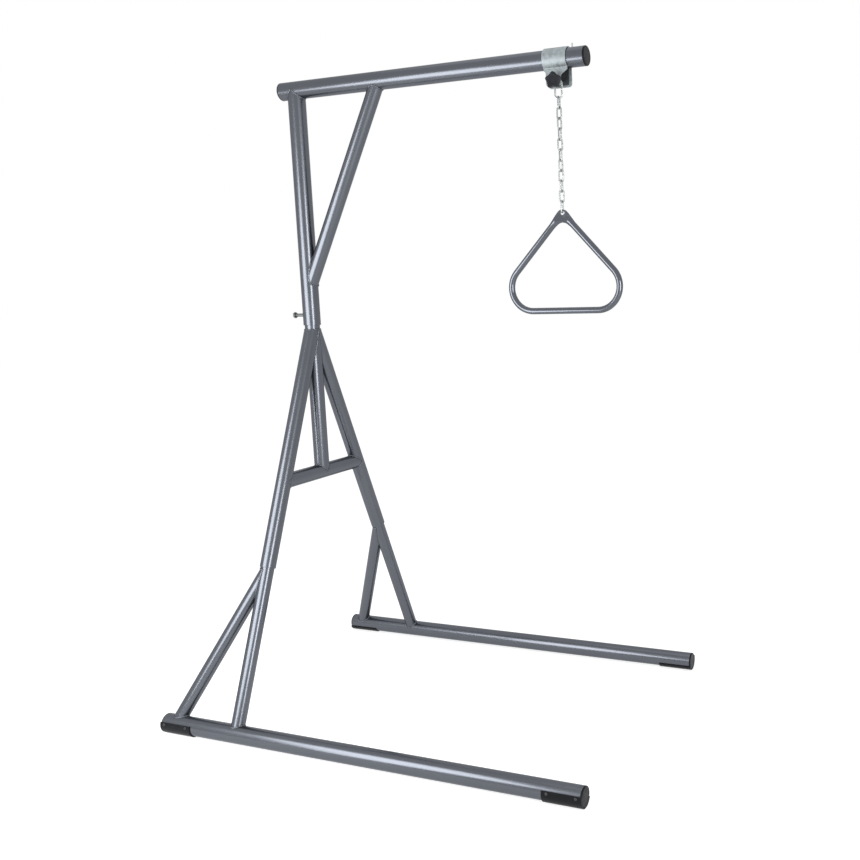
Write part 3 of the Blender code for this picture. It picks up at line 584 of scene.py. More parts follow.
def lay_weld(name, points, body, closed=True, limit=None):
    """A rippled bead along points. limit gives the most that its radius may be at a point."""
    sizes = bpy.context.scene.trapeze_sizes
    line = bpy.data.curves.new(name, "CURVE")
    line.dimensions = "3D"
    line.bevel_depth = sizes.weld
    line.bevel_resolution = 3
    line.use_fill_caps = True
    spline = line.splines.new("POLY")
    spline.points.add(len(points) - 1)
    spline.use_cyclic_u = closed
    run = 0.0
    for index, point in enumerate(points):
        run += (point - points[index - 1]).length if index else 0.0
        beat = abs(math.sin(math.pi * run / sizes.ripple))
        wander = math.sin(run * 210.0) + math.sin(run * 377.0 + 1.3)
        radius = sizes.weld * (0.84 + 0.16 * beat + 0.05 * wander)
        if limit:
            radius = min(radius, max(limit(point), 0.0004))
        spline.points[index].co = (*point, 1.0)
        spline.points[index].radius = radius / sizes.weld
    bead = bpy.data.objects.new(name, line)
    bpy.context.collection.objects.link(bead)
    select_only(bead)
    bpy.ops.object.convert(target="MESH")
    bead = bpy.context.object
    bpy.ops.object.mode_set(mode="EDIT")
    bpy.ops.mesh.select_all(action="SELECT")
    bpy.ops.mesh.remove_doubles(threshold=0.000005)
    bpy.ops.mesh.normals_make_consistent(inside=False)
    bpy.ops.object.mode_set(mode="OBJECT")
    return hand_over(bead, "painted weld", body, angle=70.0)


def weld_points(run, host, count=240):
    return [run.meeting(host, 2 * math.pi * index / count) for index in range(count)]


def line_mesh(name, points, closed):
    """A mesh of edges through points."""
    data = bpy.data.meshes.new(name)
    edges = [(index, index + 1) for index in range(len(points) - 1)]
    if closed:
        edges.append((len(points) - 1, 0))
    data.from_pydata(points, edges, [])
    item = bpy.data.objects.new(name, data)
    bpy.context.collection.objects.link(item)
    select_only(item)
    return item


def flat_solid(name, points, shift):
    """A solid between a flat outline and the same outline moved by shift."""
    item = line_mesh(name, points, True)
    bpy.ops.object.mode_set(mode="EDIT")
    bpy.ops.mesh.select_all(action="SELECT")
    bpy.ops.mesh.edge_face_add()
    bpy.ops.mesh.extrude_region_move(TRANSFORM_OT_translate={"value": shift})
    bpy.ops.mesh.select_all(action="SELECT")
    bpy.ops.mesh.normals_make_consistent(inside=False)
    bpy.ops.object.mode_set(mode="OBJECT")
    return item


def copy_piece(item, name, matrix):
    """A copy with its own mesh, moved by matrix."""
    twin = bpy.data.objects.new(name, item.data.copy())
    bpy.context.collection.objects.link(twin)
    twin.data.transform(matrix)
    return twin


class TRAPEZE_OT_base(Operator):
    """Two floor rails, each with its lower leg and slanted brace"""
    bl_idname = "trapeze.base"
    bl_label = "Base tubes"

    def execute(self, context):
        runs = frame_runs()
        for _, word in SIDES:
            body = word + "_base"
            for part, hosts in (("_rail", ()), ("_lower_leg", ("_rail",)),
                                ("_side_brace", ("_rail", "_lower_leg"))):
                node = word + part
                tube = runs[node].tube(node + "_tube")
                for host in hosts:
                    carve(tube, runs[word + host].cutter())
                hand_over(tube, "metallic grey paint", body, [node])
        return {"FINISHED"}


class TRAPEZE_OT_a_frame(Operator):
    """The two upper legs, the crossbar and the post that carries the mast"""
    bl_idname = "trapeze.a_frame"
    bl_label = "A-frame tubes"

    def execute(self, context):
        runs = frame_runs()
        post = runs["centre_post"].tube("centre_post_tube")
        carve(post, runs["crossbar"].cutter(0.0))
        hand_over(post, "metallic grey paint", "a_frame", ["centre_post"])
        bar = runs["crossbar"].tube("crossbar_tube")
        for _, word in SIDES:
            node = word + "_upper_leg"
            carve(bar, runs[node].cutter())
            leg = runs[node].tube(node + "_tube")
            carve(leg, runs["centre_post"].cutter())
            half = 2 * POST_OD
            top = [Vector((MAST_X + a * half, b * half, APEX_Z)) for a, b in SQUARE]
            carve(leg, flat_solid("apex_cut", top, UP * half))
            hand_over(leg, "metallic grey paint", "a_frame", [node])
        hand_over(bar, "metallic grey paint", "a_frame", ["crossbar"])
        return {"FINISHED"}


class TRAPEZE_OT_mast(Operator):
    """The mast, the boom on top of it and the brace between them"""
    bl_idname = "trapeze.mast"
    bl_label = "Mast, boom and brace"

    def execute(self, context):
        runs = frame_runs()
        mast = runs["mast"].tube("mast_tube")
        carve(mast, runs["boom"].cutter())
        bolt_z = centre("mast_lock_bolt").z
        carve(mast, add_cylinder((MAST_X - MAST_OD, 0, bolt_z), (MAST_X, 0, bolt_z), LOCK_SHANK + 0.0004, 32))
        hand_over(mast, "metallic grey paint", "mast_and_boom", ["mast"])
        hand_over(runs["boom"].tube("boom_tube"), "metallic grey paint", "mast_and_boom", ["boom"])
        brace = runs["boom_brace"].tube("boom_brace_tube")
        carve(brace, runs["boom"].cutter())
        carve(brace, runs["mast"].cutter())
        hand_over(brace, "metallic grey paint", "mast_and_boom", ["boom_brace"])
        return {"FINISHED"}


class TRAPEZE_OT_welds(Operator):
    """The weld beads where one tube stands on another"""
    bl_idname = "trapeze.welds"
    bl_label = "Weld beads"

    def execute(self, context):
        runs = frame_runs()
        lay_weld("mast_to_boom_weld", weld_points(runs["mast"], runs["boom"]), "mast_and_boom")
        brace = runs["boom_brace"]
        lay_weld("brace_to_boom_weld", weld_points(brace.turned(), runs["boom"]), "mast_and_boom")
        lay_weld("brace_to_mast_weld", weld_points(brace, runs["mast"]), "mast_and_boom")
        lay_weld("post_to_crossbar_weld", weld_points(runs["centre_post"], runs["crossbar"]), "a_frame")
        for side, word in SIDES:
            leg, stub = runs[word + "_upper_leg"], runs[word + "_lower_leg"]
            rail, slant = runs[word + "_rail"], runs[word + "_side_brace"]
            lay_weld(word + "_foot_weld", weld_points(stub, rail), word + "_base")
            lay_weld(word + "_brace_foot_weld", weld_points(slant.turned(), rail), word + "_base")
            sleeve_end = leg.start
            lay_weld(word + "_brace_top_weld", weld_points(slant, stub), word + "_base",
                     limit=lambda point: (sleeve_end - point).dot(leg.direction) * 0.8 - 0.0003)
            arm = runs["crossbar"] if side > 0 else runs["crossbar"].turned()
            lay_weld(word + "_crossbar_weld", weld_points(arm, leg), "a_frame")
            shown = [point for point in self.apex_line(leg, runs["centre_post"], side) if point.z < APEX_Z]
            lay_weld(word + "_apex_weld", shown, "a_frame", closed=False)
        ring = basis(Vector((MAST_X, 0, APEX_Z)), UP)
        lay_weld("apex_ring_weld", round_ring(ring, POST_OD / 2 + 0.0006, 0.0003, 160), "a_frame")
        return {"FINISHED"}

    def apex_line(self, leg, post, side):
        """The seam of a leg on the post, from one side of the post round its outer face to the other."""
        points = weld_points(leg, post)
        start = min(range(len(points)), key=lambda index: side * points[index].y)
        return points[start:] + points[:start]


class TRAPEZE_OT_plugs(Operator):
    """The push-in plugs of the rails and the boom"""
    bl_idname = "trapeze.plugs"
    bl_label = "End plugs"

    def execute(self, context):
        ends = []
        for side, word in SIDES:
            for place, sign in (("front", 1), ("rear", -1)):
                end = Vector((sign * RAIL_END, side * RAIL_Y, RAIL_Z))
                ends.append((word + "_rail_" + place + "_plug", end, FORWARD * sign, word + "_base"))
        low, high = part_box("boom")
        ends.append(("boom_front_plug", Vector((high.x, 0, BOOM_Z)), FORWARD, "mast_and_boom"))
        ends.append(("boom_rear_plug", Vector((low.x, 0, BOOM_Z)), -FORWARD, "mast_and_boom"))
        bore = RAIL_OD / 2 - THIN_WALL - GAP
        inside, depth = bore - 0.0025, 0.0180
        flange = RAIL_OD / 2
        top, edge = 0.0043, 0.0026
        for node, end, outward, body in ends:
            profile = [(inside, GAP), (inside, -depth), (bore - 0.0005, -depth), (bore, 0.0008 - depth),
                       (bore, GAP), (flange - 0.0003, GAP), (flange, GAP + 0.0003)]
            profile += [(flange - edge + a, top - edge + b) for a, b in arc(edge, 0, 90, 6)]
            profile += [(flange - 0.0050, top), (flange - 0.0056, top - 0.0004),
                        (flange * 0.45, top - 0.0003), (flange * 0.1, top - 0.0002)]
            hand_over(turn_solid(node + "_cap", basis(end, outward), profile, 64), "moulded plastic", body,
                      [node], angle=28.0)
        return {"FINISHED"}


class TRAPEZE_OT_pads(Operator):
    """The four floor pads under the rails' ends, turned outwards, with a worn flat tread"""
    bl_idname = "trapeze.pads"
    bl_label = "Floor pads"

    def execute(self, context):
        for side, word in SIDES:
            for place in ("front", "rear"):
                node = word + "_" + place + "_pad"
                low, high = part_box(node)
                axis = Vector((0, side * RAIL_Y, RAIL_Z))
                pad = add_tube(node + "_shell", axis + FORWARD * low.x, axis + FORWARD * high.x,
                               2 * PAD_OUTSIDE, PAD_OUTSIDE - RAIL_OD / 2 - GAP, 0.0002, 96)
                bpy.ops.object.transform_apply(location=True, rotation=True, scale=True)
                bpy.ops.object.mode_set(mode="EDIT")
                upper_edge = (0, -side * math.sin(PAD_TURN), math.cos(PAD_TURN))
                tread = UP * 0.0001
                for point, facing in ((axis, upper_edge), (tread, -UP)):
                    bpy.ops.mesh.select_all(action="SELECT")
                    bpy.ops.mesh.bisect(plane_co=point, plane_no=facing, use_fill=True, clear_outer=True)
                bpy.ops.mesh.select_all(action="SELECT")
                bpy.ops.mesh.normals_make_consistent(inside=False)
                bpy.ops.object.mode_set(mode="OBJECT")
                apply_modifier(pad, "BEVEL", width=PAD_EDGE, segments=4, limit_method="ANGLE",
                               angle_limit=math.radians(40))
                bpy.ops.object.mode_set(mode="EDIT")
                inset = 1.3 * PAD_EDGE
                hold_edges([(FORWARD * along, FORWARD) for along in (low.x + inset, high.x - inset)])
                bpy.ops.object.mode_set(mode="OBJECT")
                hand_over(pad, "moulded plastic", word + "_base", [node], angle=30.0)
        return {"FINISHED"}


class TRAPEZE_OT_screws(Operator):
    """One cross-headed screw, copied to the sixteen places in the pads"""
    bl_idname = "trapeze.screws"
    bl_label = "Pad screws"

    def execute(self, context):
        profile = [(0.0006, -0.0110), (0.0017, -0.0085), (0.0018, 0.0), (0.0036, 0.0), (0.0038, 0.0002),
                   (0.0038, 0.0006), (0.0035, 0.0010), (0.0028, 0.0013), (0.0018, 0.0015), (0.0006, 0.0016)]
        model = turn_solid("screw_model", Matrix.Identity(4), profile, 24)
        for across, along in ((0.0023, 0.00045), (0.00045, 0.0023)):
            slot = [Vector((a * across, b * along, 0.0006)) for a, b in SQUARE]
            carve(model, flat_solid("slot", slot, UP * 0.003))
        seat = PAD_OUTSIDE + GAP
        for side, word in SIDES:
            for place in ("front", "rear"):
                for edge, angle in SCREW_ANGLES:
                    turn = math.radians(angle)
                    outward = Vector((0, side * math.cos(turn), math.sin(turn)))
                    for number in (1, 2):
                        node = "%s_%s_pad_%s_screw_%d" % (word, place, edge, number)
                        spot = Vector((centre(node).x, side * RAIL_Y, RAIL_Z)) + outward * seat
                        twist = Matrix.Rotation(1.7 * number + 0.9 * side + angle, 4, "Z")
                        screw = copy_piece(model, node + "_head", basis(spot, outward) @ twist)
                        hand_over(screw, "black steel", word + "_base", [node], angle=30.0)
        bpy.data.objects.remove(model, do_unlink=True)
        return {"FINISHED"}


def hex_radius(flats):
    """The reach of a hexagon at an angle."""
    return lambda angle: flats / 2 / math.cos((angle + math.pi / 6) % (math.pi / 3) - math.pi / 6)


def hex_section(flats, limit):
    """A hexagon whose corners are turned down to limit."""
    return lambda angle: min(hex_radius(flats)(angle), limit)


def hex_rings(place, flats, bottom, top, chamfered=(True, True), sides=72):
    """Rings of a hexagon between two heights, with its corners chamfered below or above."""
    corner = flats / 2 / math.cos(math.pi / 6)
    inner = flats / 2 * 0.985
    drop = (corner - flats / 2) * math.tan(math.radians(30))
    rings = []
    if chamfered[0]:
        for share in (0.0, 0.33, 0.66):
            limit = inner + (corner - inner) * share
            rings.append(round_ring(place, hex_section(flats, limit), bottom + drop * share, sides))
    rings.append(round_ring(place, hex_radius(flats), bottom + (drop if chamfered[0] else 0.0), sides))
    rings.append(round_ring(place, hex_radius(flats), top - (drop if chamfered[1] else 0.0), sides))
    if chamfered[1]:
        for share in (0.66, 0.33, 0.0):
            limit = inner + (corner - inner) * share
            rings.append(round_ring(place, hex_section(flats, limit), top - drop * share, sides))
    return rings


def thread_rings(place, radius, pitch, start, end, sides=32):
    """Rings of a helical thread between two heights, fading out towards both."""
    depth = 0.54 * pitch
    count = max(int((end - start) / pitch * 8), 4)
    rings = []
    for index in range(count + 1):
        height = start + (end - start) * index / count
        fade = min(1.0, (height - start) / pitch, (end - height) / pitch)

        def reach(angle, height=height, fade=fade):
            phase = (height / pitch - angle / (2 * math.pi)) % 1.0
            return radius - depth * fade * (1 - abs(2 * phase - 1)) * 0.9
        rings.append(round_ring(place, reach, height, sides))
    return rings


class TRAPEZE_OT_lock_bolt(Operator):
    """The hex bolt through the mast's rear side, threaded where it bites"""
    bl_idname = "trapeze.lock_bolt"
    bl_label = "Lock bolt"

    def execute(self, context):
        sizes = context.scene.trapeze_sizes
        low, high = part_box("mast_lock_bolt")
        place = basis(Vector((MAST_X, 0, centre("mast_lock_bolt").z)), -FORWARD)
        tip, top = MAST_X - high.x, MAST_X - low.x
        head = top - LOCK_HEAD
        rings = [round_ring(place, LOCK_SHANK - 0.0013, tip, 36)]
        rings += thread_rings(place, LOCK_SHANK, sizes.lock_pitch, tip + 0.0010, MAST_OD / 2 + 0.0030, 36)
        rings += [round_ring(place, LOCK_SHANK, head - 0.0005, 36),
                  round_ring(place, LOCK_SHANK + 0.0004, head, 36)]
        bolt_rings = [self.widen(ring) for ring in rings]
        face = LOCK_FLATS / 2 - 0.0008
        bolt_rings += [round_ring(place, face, head, 72), round_ring(place, face, head + 0.0004, 72)]
        bolt_rings += hex_rings(place, LOCK_FLATS, head + 0.0004, top, (False, True))
        bolt_rings += [round_ring(place, 0.0070, top, 72), round_ring(place, 0.0064, top - 0.0005, 72),
                       round_ring(place, 0.0010, top - 0.0006, 72)]
        bolt = draw_solid("lock_bolt_turned", bolt_rings)
        hand_over(bolt, "dull zinc", "lock_bolt", ["mast_lock_bolt"], angle=30.0)
        return {"FINISHED"}

    def widen(self, ring):
        """A ring with a point added half way along each of its sides."""
        points = []
        for index, point in enumerate(ring):
            points += [point, (point + ring[(index + 1) % len(ring)]) / 2]
        return points


class TRAPEZE_OT_clamp(Operator):
    """The clamp: one strap of sheet round the boom, bent down into two ears and cut to shape"""
    bl_idname = "trapeze.clamp"
    bl_label = "Boom clamp"

    def execute(self, context):
        sizes = context.scene.trapeze_sizes
        side = extent("boom_clamp", 0) / 2
        line = self.middle_line(BOOM_OD / 2 + GAP + STRAP_THICKNESS / 2, sizes.strap_bend)
        points = [Vector((CLAMP.x - side, across, BOOM_Z + up)) for across, up in line]
        strap = line_mesh("clamp_strap", points, False)
        bpy.ops.object.mode_set(mode="EDIT")
        bpy.ops.mesh.select_all(action="SELECT")
        bpy.ops.mesh.extrude_edges_move(TRANSFORM_OT_translate={"value": FORWARD * 2 * side})
        bpy.ops.mesh.select_all(action="SELECT")
        bpy.ops.mesh.normals_make_consistent(inside=False)
        bpy.ops.object.mode_set(mode="OBJECT")
        apply_modifier(strap, "SOLIDIFY", thickness=STRAP_THICKNESS, offset=0.0, use_even_offset=True)
        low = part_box("boom_clamp")[0].z - BOOM_Z
        drop = BOLT_Z - BOOM_Z
        past, across = STRAP_THICKNESS, 8 * STRAP_THICKNESS
        round_centre = low + EAR_CORNER
        far = [(side - EAR_CORNER + a, round_centre + b) for a, b in arc(EAR_CORNER, -90, 0)]
        far += [(side + past, round_centre), (side + past, low - past), (side - EAR_CORNER, low - past)]
        lowest = math.degrees(math.asin((low - drop) / NEAR_EAR_ROUND))
        end = [(a, drop + b) for a, b in arc(NEAR_EAR_ROUND, 0, lowest)]
        front = [(side + past, -NECK_DROP), (side, -NECK_DROP), (NEAR_EAR_ROUND, -NEAR_EAR_NECK)] + end
        front += [(end[-1][0], low - past), (side + past, low - past)]
        rear = [(-side - past, -NECK_DROP), (-side, -NECK_DROP)]
        rear += [(-NEAR_EAR_REAR, NEAR_EAR_REAR - side - NECK_DROP)]
        rear += [(a - NEAR_EAR_REAR + EAR_CORNER, round_centre + b) for a, b in arc(EAR_CORNER, 180, 270)]
        rear += [(EAR_CORNER - NEAR_EAR_REAR, low - past), (-side - past, low - past)]
        for outline, shift in ((front, -across), (rear, -across), (far, across),
                               ([(-a, b) for a, b in far], across)):
            flat = [Vector((CLAMP.x + a, 0, BOOM_Z + b)) for a, b in outline]
            carve(strap, flat_solid("ear_cut", flat, LEFT * shift))
        carve(strap, add_cylinder((CLAMP.x, -0.05, BOLT_Z), (CLAMP.x, 0.05, BOLT_Z), BOLT_OD / 2 + GAP, 40))
        apply_modifier(strap, "BEVEL", width=0.0005, segments=2, limit_method="ANGLE",
                       angle_limit=math.radians(50))
        hand_over(strap, "spangled zinc", "clamp", ["boom_clamp"], angle=20.0)
        return {"FINISHED"}

    def middle_line(self, radius, bend):
        """The strap's middle line from ear to ear, as (across, up) from the boom's axis."""
        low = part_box("boom_clamp")[0].z - BOOM_Z
        across = EAR_MIDDLE + bend
        up = -math.sqrt((radius + bend) ** 2 - across ** 2)
        contact = math.degrees(math.atan2(up, across))
        half = [(EAR_MIDDLE, low + (up - low) * k / 4) for k in range(4)]
        half += [(across + a, up + b) for a, b in arc(bend, 180, 180 + contact, 8)]
        whole = half + arc(radius, contact, 180 - contact, 56)[1:-1]
        return whole + [(-a, b) for a, b in reversed(half)]


class TRAPEZE_OT_fasteners(Operator):
    """The clamp's bolt, nut and washer, and the stop pin on the boom"""
    bl_idname = "trapeze.fasteners"
    bl_label = "Clamp fasteners and stop pin"

    def execute(self, context):
        sizes = context.scene.trapeze_sizes
        low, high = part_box("clamp_bolt")
        place = basis(Vector((CLAMP.x, low.y, BOLT_Z)), LEFT)
        length = high.y - low.y
        radius, threaded = BOLT_OD / 2, 0.0160
        rings = [round_ring(place, radius - 0.0006, 0, 32), round_ring(place, radius, 0.0006, 32),
                 round_ring(place, radius, length - threaded - 0.0002, 32)]
        rings += thread_rings(place, radius, sizes.pitch, length - threaded, length - 0.0010)
        rings += [round_ring(place, radius - 0.0008, length, 32)]
        hand_over(draw_solid("clamp_bolt_turned", rings), "bright zinc", "knob", ["clamp_bolt"], angle=30.0)
        nut_low, nut_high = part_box("clamp_nut")
        seat = basis(Vector((CLAMP.x, nut_low.y, BOLT_Z)), LEFT)
        nut = draw_solid("clamp_nut_cut", hex_rings(seat, NUT_FLATS, 0.0, nut_high.y - nut_low.y))
        carve(nut, add_cylinder((CLAMP.x, 0, BOLT_Z), (CLAMP.x, 0.05, BOLT_Z), radius + 0.00015, 40))
        hand_over(nut, "bright zinc", "clamp", ["clamp_nut"], angle=28.0)
        under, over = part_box("knob_washer")
        washer = add_tube("knob_washer_ring", (CLAMP.x, under.y, BOLT_Z), (CLAMP.x, over.y, BOLT_Z),
                          extent("knob_washer", 0), extent("knob_washer", 0) / 2 - radius - GAP, 0.0002, 64)
        hand_over(washer, "bright zinc", "washer", ["knob_washer"])
        pin_low, pin_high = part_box("boom_stop_pin")
        foot = basis(Vector((centre("boom_stop_pin").x, 0, pin_low.z)), UP)
        height = pin_high.z - pin_low.z
        profile = [(0.0017, 0), (0.0021, 0.0004), (0.0021, height - 0.0016), (0.0019, height - 0.0008),
                   (0.0014, height - 0.0002), (0.0006, height)]
        hand_over(turn_solid("stop_pin_turned", foot, profile, 32), "bright zinc", "mast_and_boom",
                  ["boom_stop_pin"], angle=40.0)
        return {"FINISHED"}


class TRAPEZE_OT_knob(Operator):
    """The star knob with five lobes, one of them upwards, and its round hub"""
    bl_idname = "trapeze.knob"
    bl_label = "Star knob"

    def execute(self, context):
        low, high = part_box("clamp_knob")
        place = basis(Vector((CLAMP.x, high.y, BOLT_Z)), -LEFT)
        top = high.y - low.y
        inset, under, over = 0.0030, 0.0026, 0.0036
        sections = [(0.0092, 0.0), (0.0095, 0.0003), (0.0095, KNOB_HUB - 0.0004), (0.0100, KNOB_HUB)]
        sections += [(self.star(inset * (1 - b)), KNOB_HUB + under * (1 - a)) for a, b in arc(1, 0, 90, 5)]
        sections += [(self.star(inset * (1 - a)), top - over * (1 - b)) for a, b in arc(1, 0, 90, 5)]
        sections += [(self.star(0.0052), top), (0.0112, top - 0.0002), (0.0104, top - 0.0008),
                     (0.0080, top - 0.0009), (0.0074, top - 0.0003), (0.0010, top - 0.0001)]
        knob = turn_solid("star_knob", place, sections, 120)
        bore_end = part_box("clamp_bolt")[0].y - GAP
        carve(knob, add_cylinder((CLAMP.x, high.y + 0.001, BOLT_Z), (CLAMP.x, bore_end, BOLT_Z),
                                 BOLT_OD / 2 + 0.0002, 40))
        hand_over(knob, "knob plastic", "knob", ["clamp_knob"], angle=32.0)
        return {"FINISHED"}

    def star(self, shrink):
        """The reach of the star at an angle, its hollows flatter than its lobes."""
        def reach(angle):
            wave = 0.5 + 0.5 * math.cos(5 * (angle - math.pi / 2))
            return STAR_HOLLOW + STAR_LOBE * (0.72 * wave + 0.28 * wave ** 3) - shrink
        return reach


def add_link(name, length, width, wire):
    """A chain link in the X-Z plane, stretched from a torus, with its weld bulged on one side."""
    sizes = bpy.context.scene.trapeze_sizes
    bpy.ops.object.select_all(action="DESELECT")
    reach = (width - wire) / 2
    bpy.ops.mesh.primitive_torus_add(major_radius=reach, minor_radius=wire / 2, major_segments=40,
                                     minor_segments=16, location=(0, 0, 0))
    link = bpy.context.object
    link.name = name
    link.data.transform(Matrix.Rotation(math.pi / 2, 4, "X") @ Matrix.Rotation(math.pi / 40, 4, "Z"))
    bpy.ops.object.mode_set(mode="EDIT")
    bpy.ops.mesh.select_mode(type="EDGE")
    mesh = bmesh.from_edit_mesh(link.data)
    drop = length - width
    for vert in mesh.verts:
        vert.co.z -= reach + (drop if vert.co.z < 0 else 0.0)
    for edge in mesh.edges:
        edge.select_set(edge.calc_length() > drop * 0.9)
    bmesh.update_edit_mesh(link.data)
    bpy.ops.mesh.subdivide(number_cuts=15)
    mesh = bmesh.from_edit_mesh(link.data)
    middle = -reach - drop / 2
    for vert in mesh.verts:
        if vert.co.x > 0:
            bulge = sizes.link_weld * math.exp(-((vert.co.z - middle) / (0.35 * wire)) ** 2)
            vert.co.x += (vert.co.x - reach) * bulge
            vert.co.y *= 1 + bulge
    bmesh.update_edit_mesh(link.data)
    bpy.ops.object.mode_set(mode="OBJECT")
    return link


class TRAPEZE_OT_chain(Operator):
    """The wide top link on the clamp bolt and the eleven welded links under it"""
    bl_idname = "trapeze.chain"
    bl_label = "Chain"

    def execute(self, context):
        low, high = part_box("top_link")
        wire = extent("top_link", 1)
        top = add_link("top_link_wire", high.z - low.z, high.x - low.x, wire)
        top.data.transform(Matrix.Translation((CLAMP.x, 0, high.z - wire / 2)))
        hand_over(top, "bright zinc", "top_link", ["top_link"], angle=60.0)
        model = add_link("link_model", LINK_LENGTH, LINK_WIDTH, LINK_WIRE)
        for number in range(1, 12):
            node = "chain_link_%02d" % number
            turn = (90.0 if number % 2 else 0.0) + LINK_TWIST.get(number, 0.0)
            spot = Matrix.Translation((CLAMP.x, 0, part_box(node)[1].z - LINK_WIRE / 2))
            link = copy_piece(model, node + "_wire", spot @ Matrix.Rotation(math.radians(turn), 4, "Z"))
            hand_over(link, "chain zinc", node, [node], angle=60.0)
        bpy.data.objects.remove(model, do_unlink=True)
        return {"FINISHED"}


def squared(value, exponent):
    return math.copysign(abs(value) ** exponent, value)


class TRAPEZE_OT_handle(Operator):
    """The pull handle: one tube bent to a triangle, its ends flattened, crossed and drilled"""
    bl_idname = "trapeze.handle"
    bl_label = "Pull handle"

    def execute(self, context):
        low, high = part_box("pull_handle")
        eye = Vector((CLAMP.x, 0, low.z + HANDLE_TUBE + HANDLE_DROP))
        rings = []
        for mirrored in (False, True):
            half = [self.section(station, mirrored, eye) for station in self.stations(high.x - low.x)]
            rings += reversed(half) if mirrored else half
        handle = draw_solid("handle_tube", rings)
        carve(handle, add_cylinder(eye - LEFT * 0.02, eye + LEFT * 0.02, EYE_HOLE, 48))
        apply_modifier(handle, "BEVEL", width=0.0003, segments=2, limit_method="ANGLE",
                       angle_limit=math.radians(70))
        hand_over(handle, "glossy grey paint", "handle", ["pull_handle"], angle=50.0)
        return {"FINISHED"}

    def stations(self, width):
        """Points along one half, from the flattened end to the middle of the bar.

        Each has its place, its outward direction, half width, half thickness, squareness and offset.
        """
        bend = Vector((HANDLE_BEND + HANDLE_TUBE - width / 2, 0, HANDLE_BEND - HANDLE_DROP))
        slant = math.atan2(-bend.x, -bend.z) + math.asin(HANDLE_BEND / bend.length)
        down = Vector((-math.sin(slant), 0, -math.cos(slant)))
        outward = Vector((-math.cos(slant), 0, math.sin(slant)))
        sunk = -UP * EYE_SINK
        wider, thicker = EYE_RADIUS - HANDLE_TUBE, HANDLE_TUBE - EYE_FLAT
        found = []
        for k in range(1, 11):
            turn = math.pi / 2 * k / 10
            found.append((sunk - down * (EYE_RADIUS * math.cos(turn)), outward, EYE_RADIUS * math.sin(turn),
                          EYE_FLAT, EYE_SQUARENESS, EYE_ASIDE))
        for k in range(15):
            share = k / 14
            blend = share * share * (3 - 2 * share)
            place = sunk * (1 - blend) + down * (EYE_LENGTH * blend + EYE_TAPER * share)
            early = min(share / SHOULDER, 1.0)
            swell = early * early * (3 - 2 * early)
            drawn_in = wider * (swell - blend) / 2
            found.append((place + outward * drawn_in, outward, EYE_RADIUS - wider * blend - drawn_in,
                          EYE_FLAT + thicker * swell, EYE_SQUARENESS + (1 - EYE_SQUARENESS) * swell,
                          EYE_ASIDE * (1 - blend)))
        for k in range(25):
            turn = (math.pi / 2 + slant) * k / 24
            swung = Matrix.Rotation(-turn, 3, "Y") @ outward
            found.append((bend + swung * HANDLE_BEND, swung, HANDLE_TUBE, HANDLE_TUBE, 1.0, 0.0))
        return found

    def section(self, station, mirrored, eye, sides=32):
        """The ring of one station. The mirrored half is the same half turned about the vertical."""
        point, outward, width, thickness, square, aside = station
        ring = []
        for index in range(sides):
            angle = 2 * math.pi * (index + 0.5) / sides
            spot = point + outward * (width * squared(math.cos(angle), square))
            spot += LEFT * (thickness * squared(math.sin(angle), square) - aside)
            ring.append(eye + (Vector((-spot.x, -spot.y, spot.z)) if mirrored else spot))
        return [ring[-index] for index in range(sides)] if mirrored else ring


PICTURE_SIZE = 860.0
VIEW_CENTRE = (605.43, 426.63)   # where the camera's axis meets the picture, from its top left corner
FLOOR_RADIUS = 14.0
PAPER_GREY = 0.62
PAPER_GLOW = 0.68                # lifts the lit paper to the backdrop's white

# The soft boxes: name, place, what they face, size, power, and lean of the top to the left in degrees
LAMPS = (
    ("left_box", (-0.74, -1.50, 1.02), (-0.5, 0.0, 1.0), (1.0, 1.45), 28.0, 33.0),
    ("right_box", (3.10, -2.15, 1.15), (0.0, 0.0, 0.95), (1.2, 1.5), 56.0, 0.0),
    ("top_box", (0.2, 0.4, 3.6), (0.0, 0.0, 0.95), (2.4, 2.4), 8.0, 0.0),
)


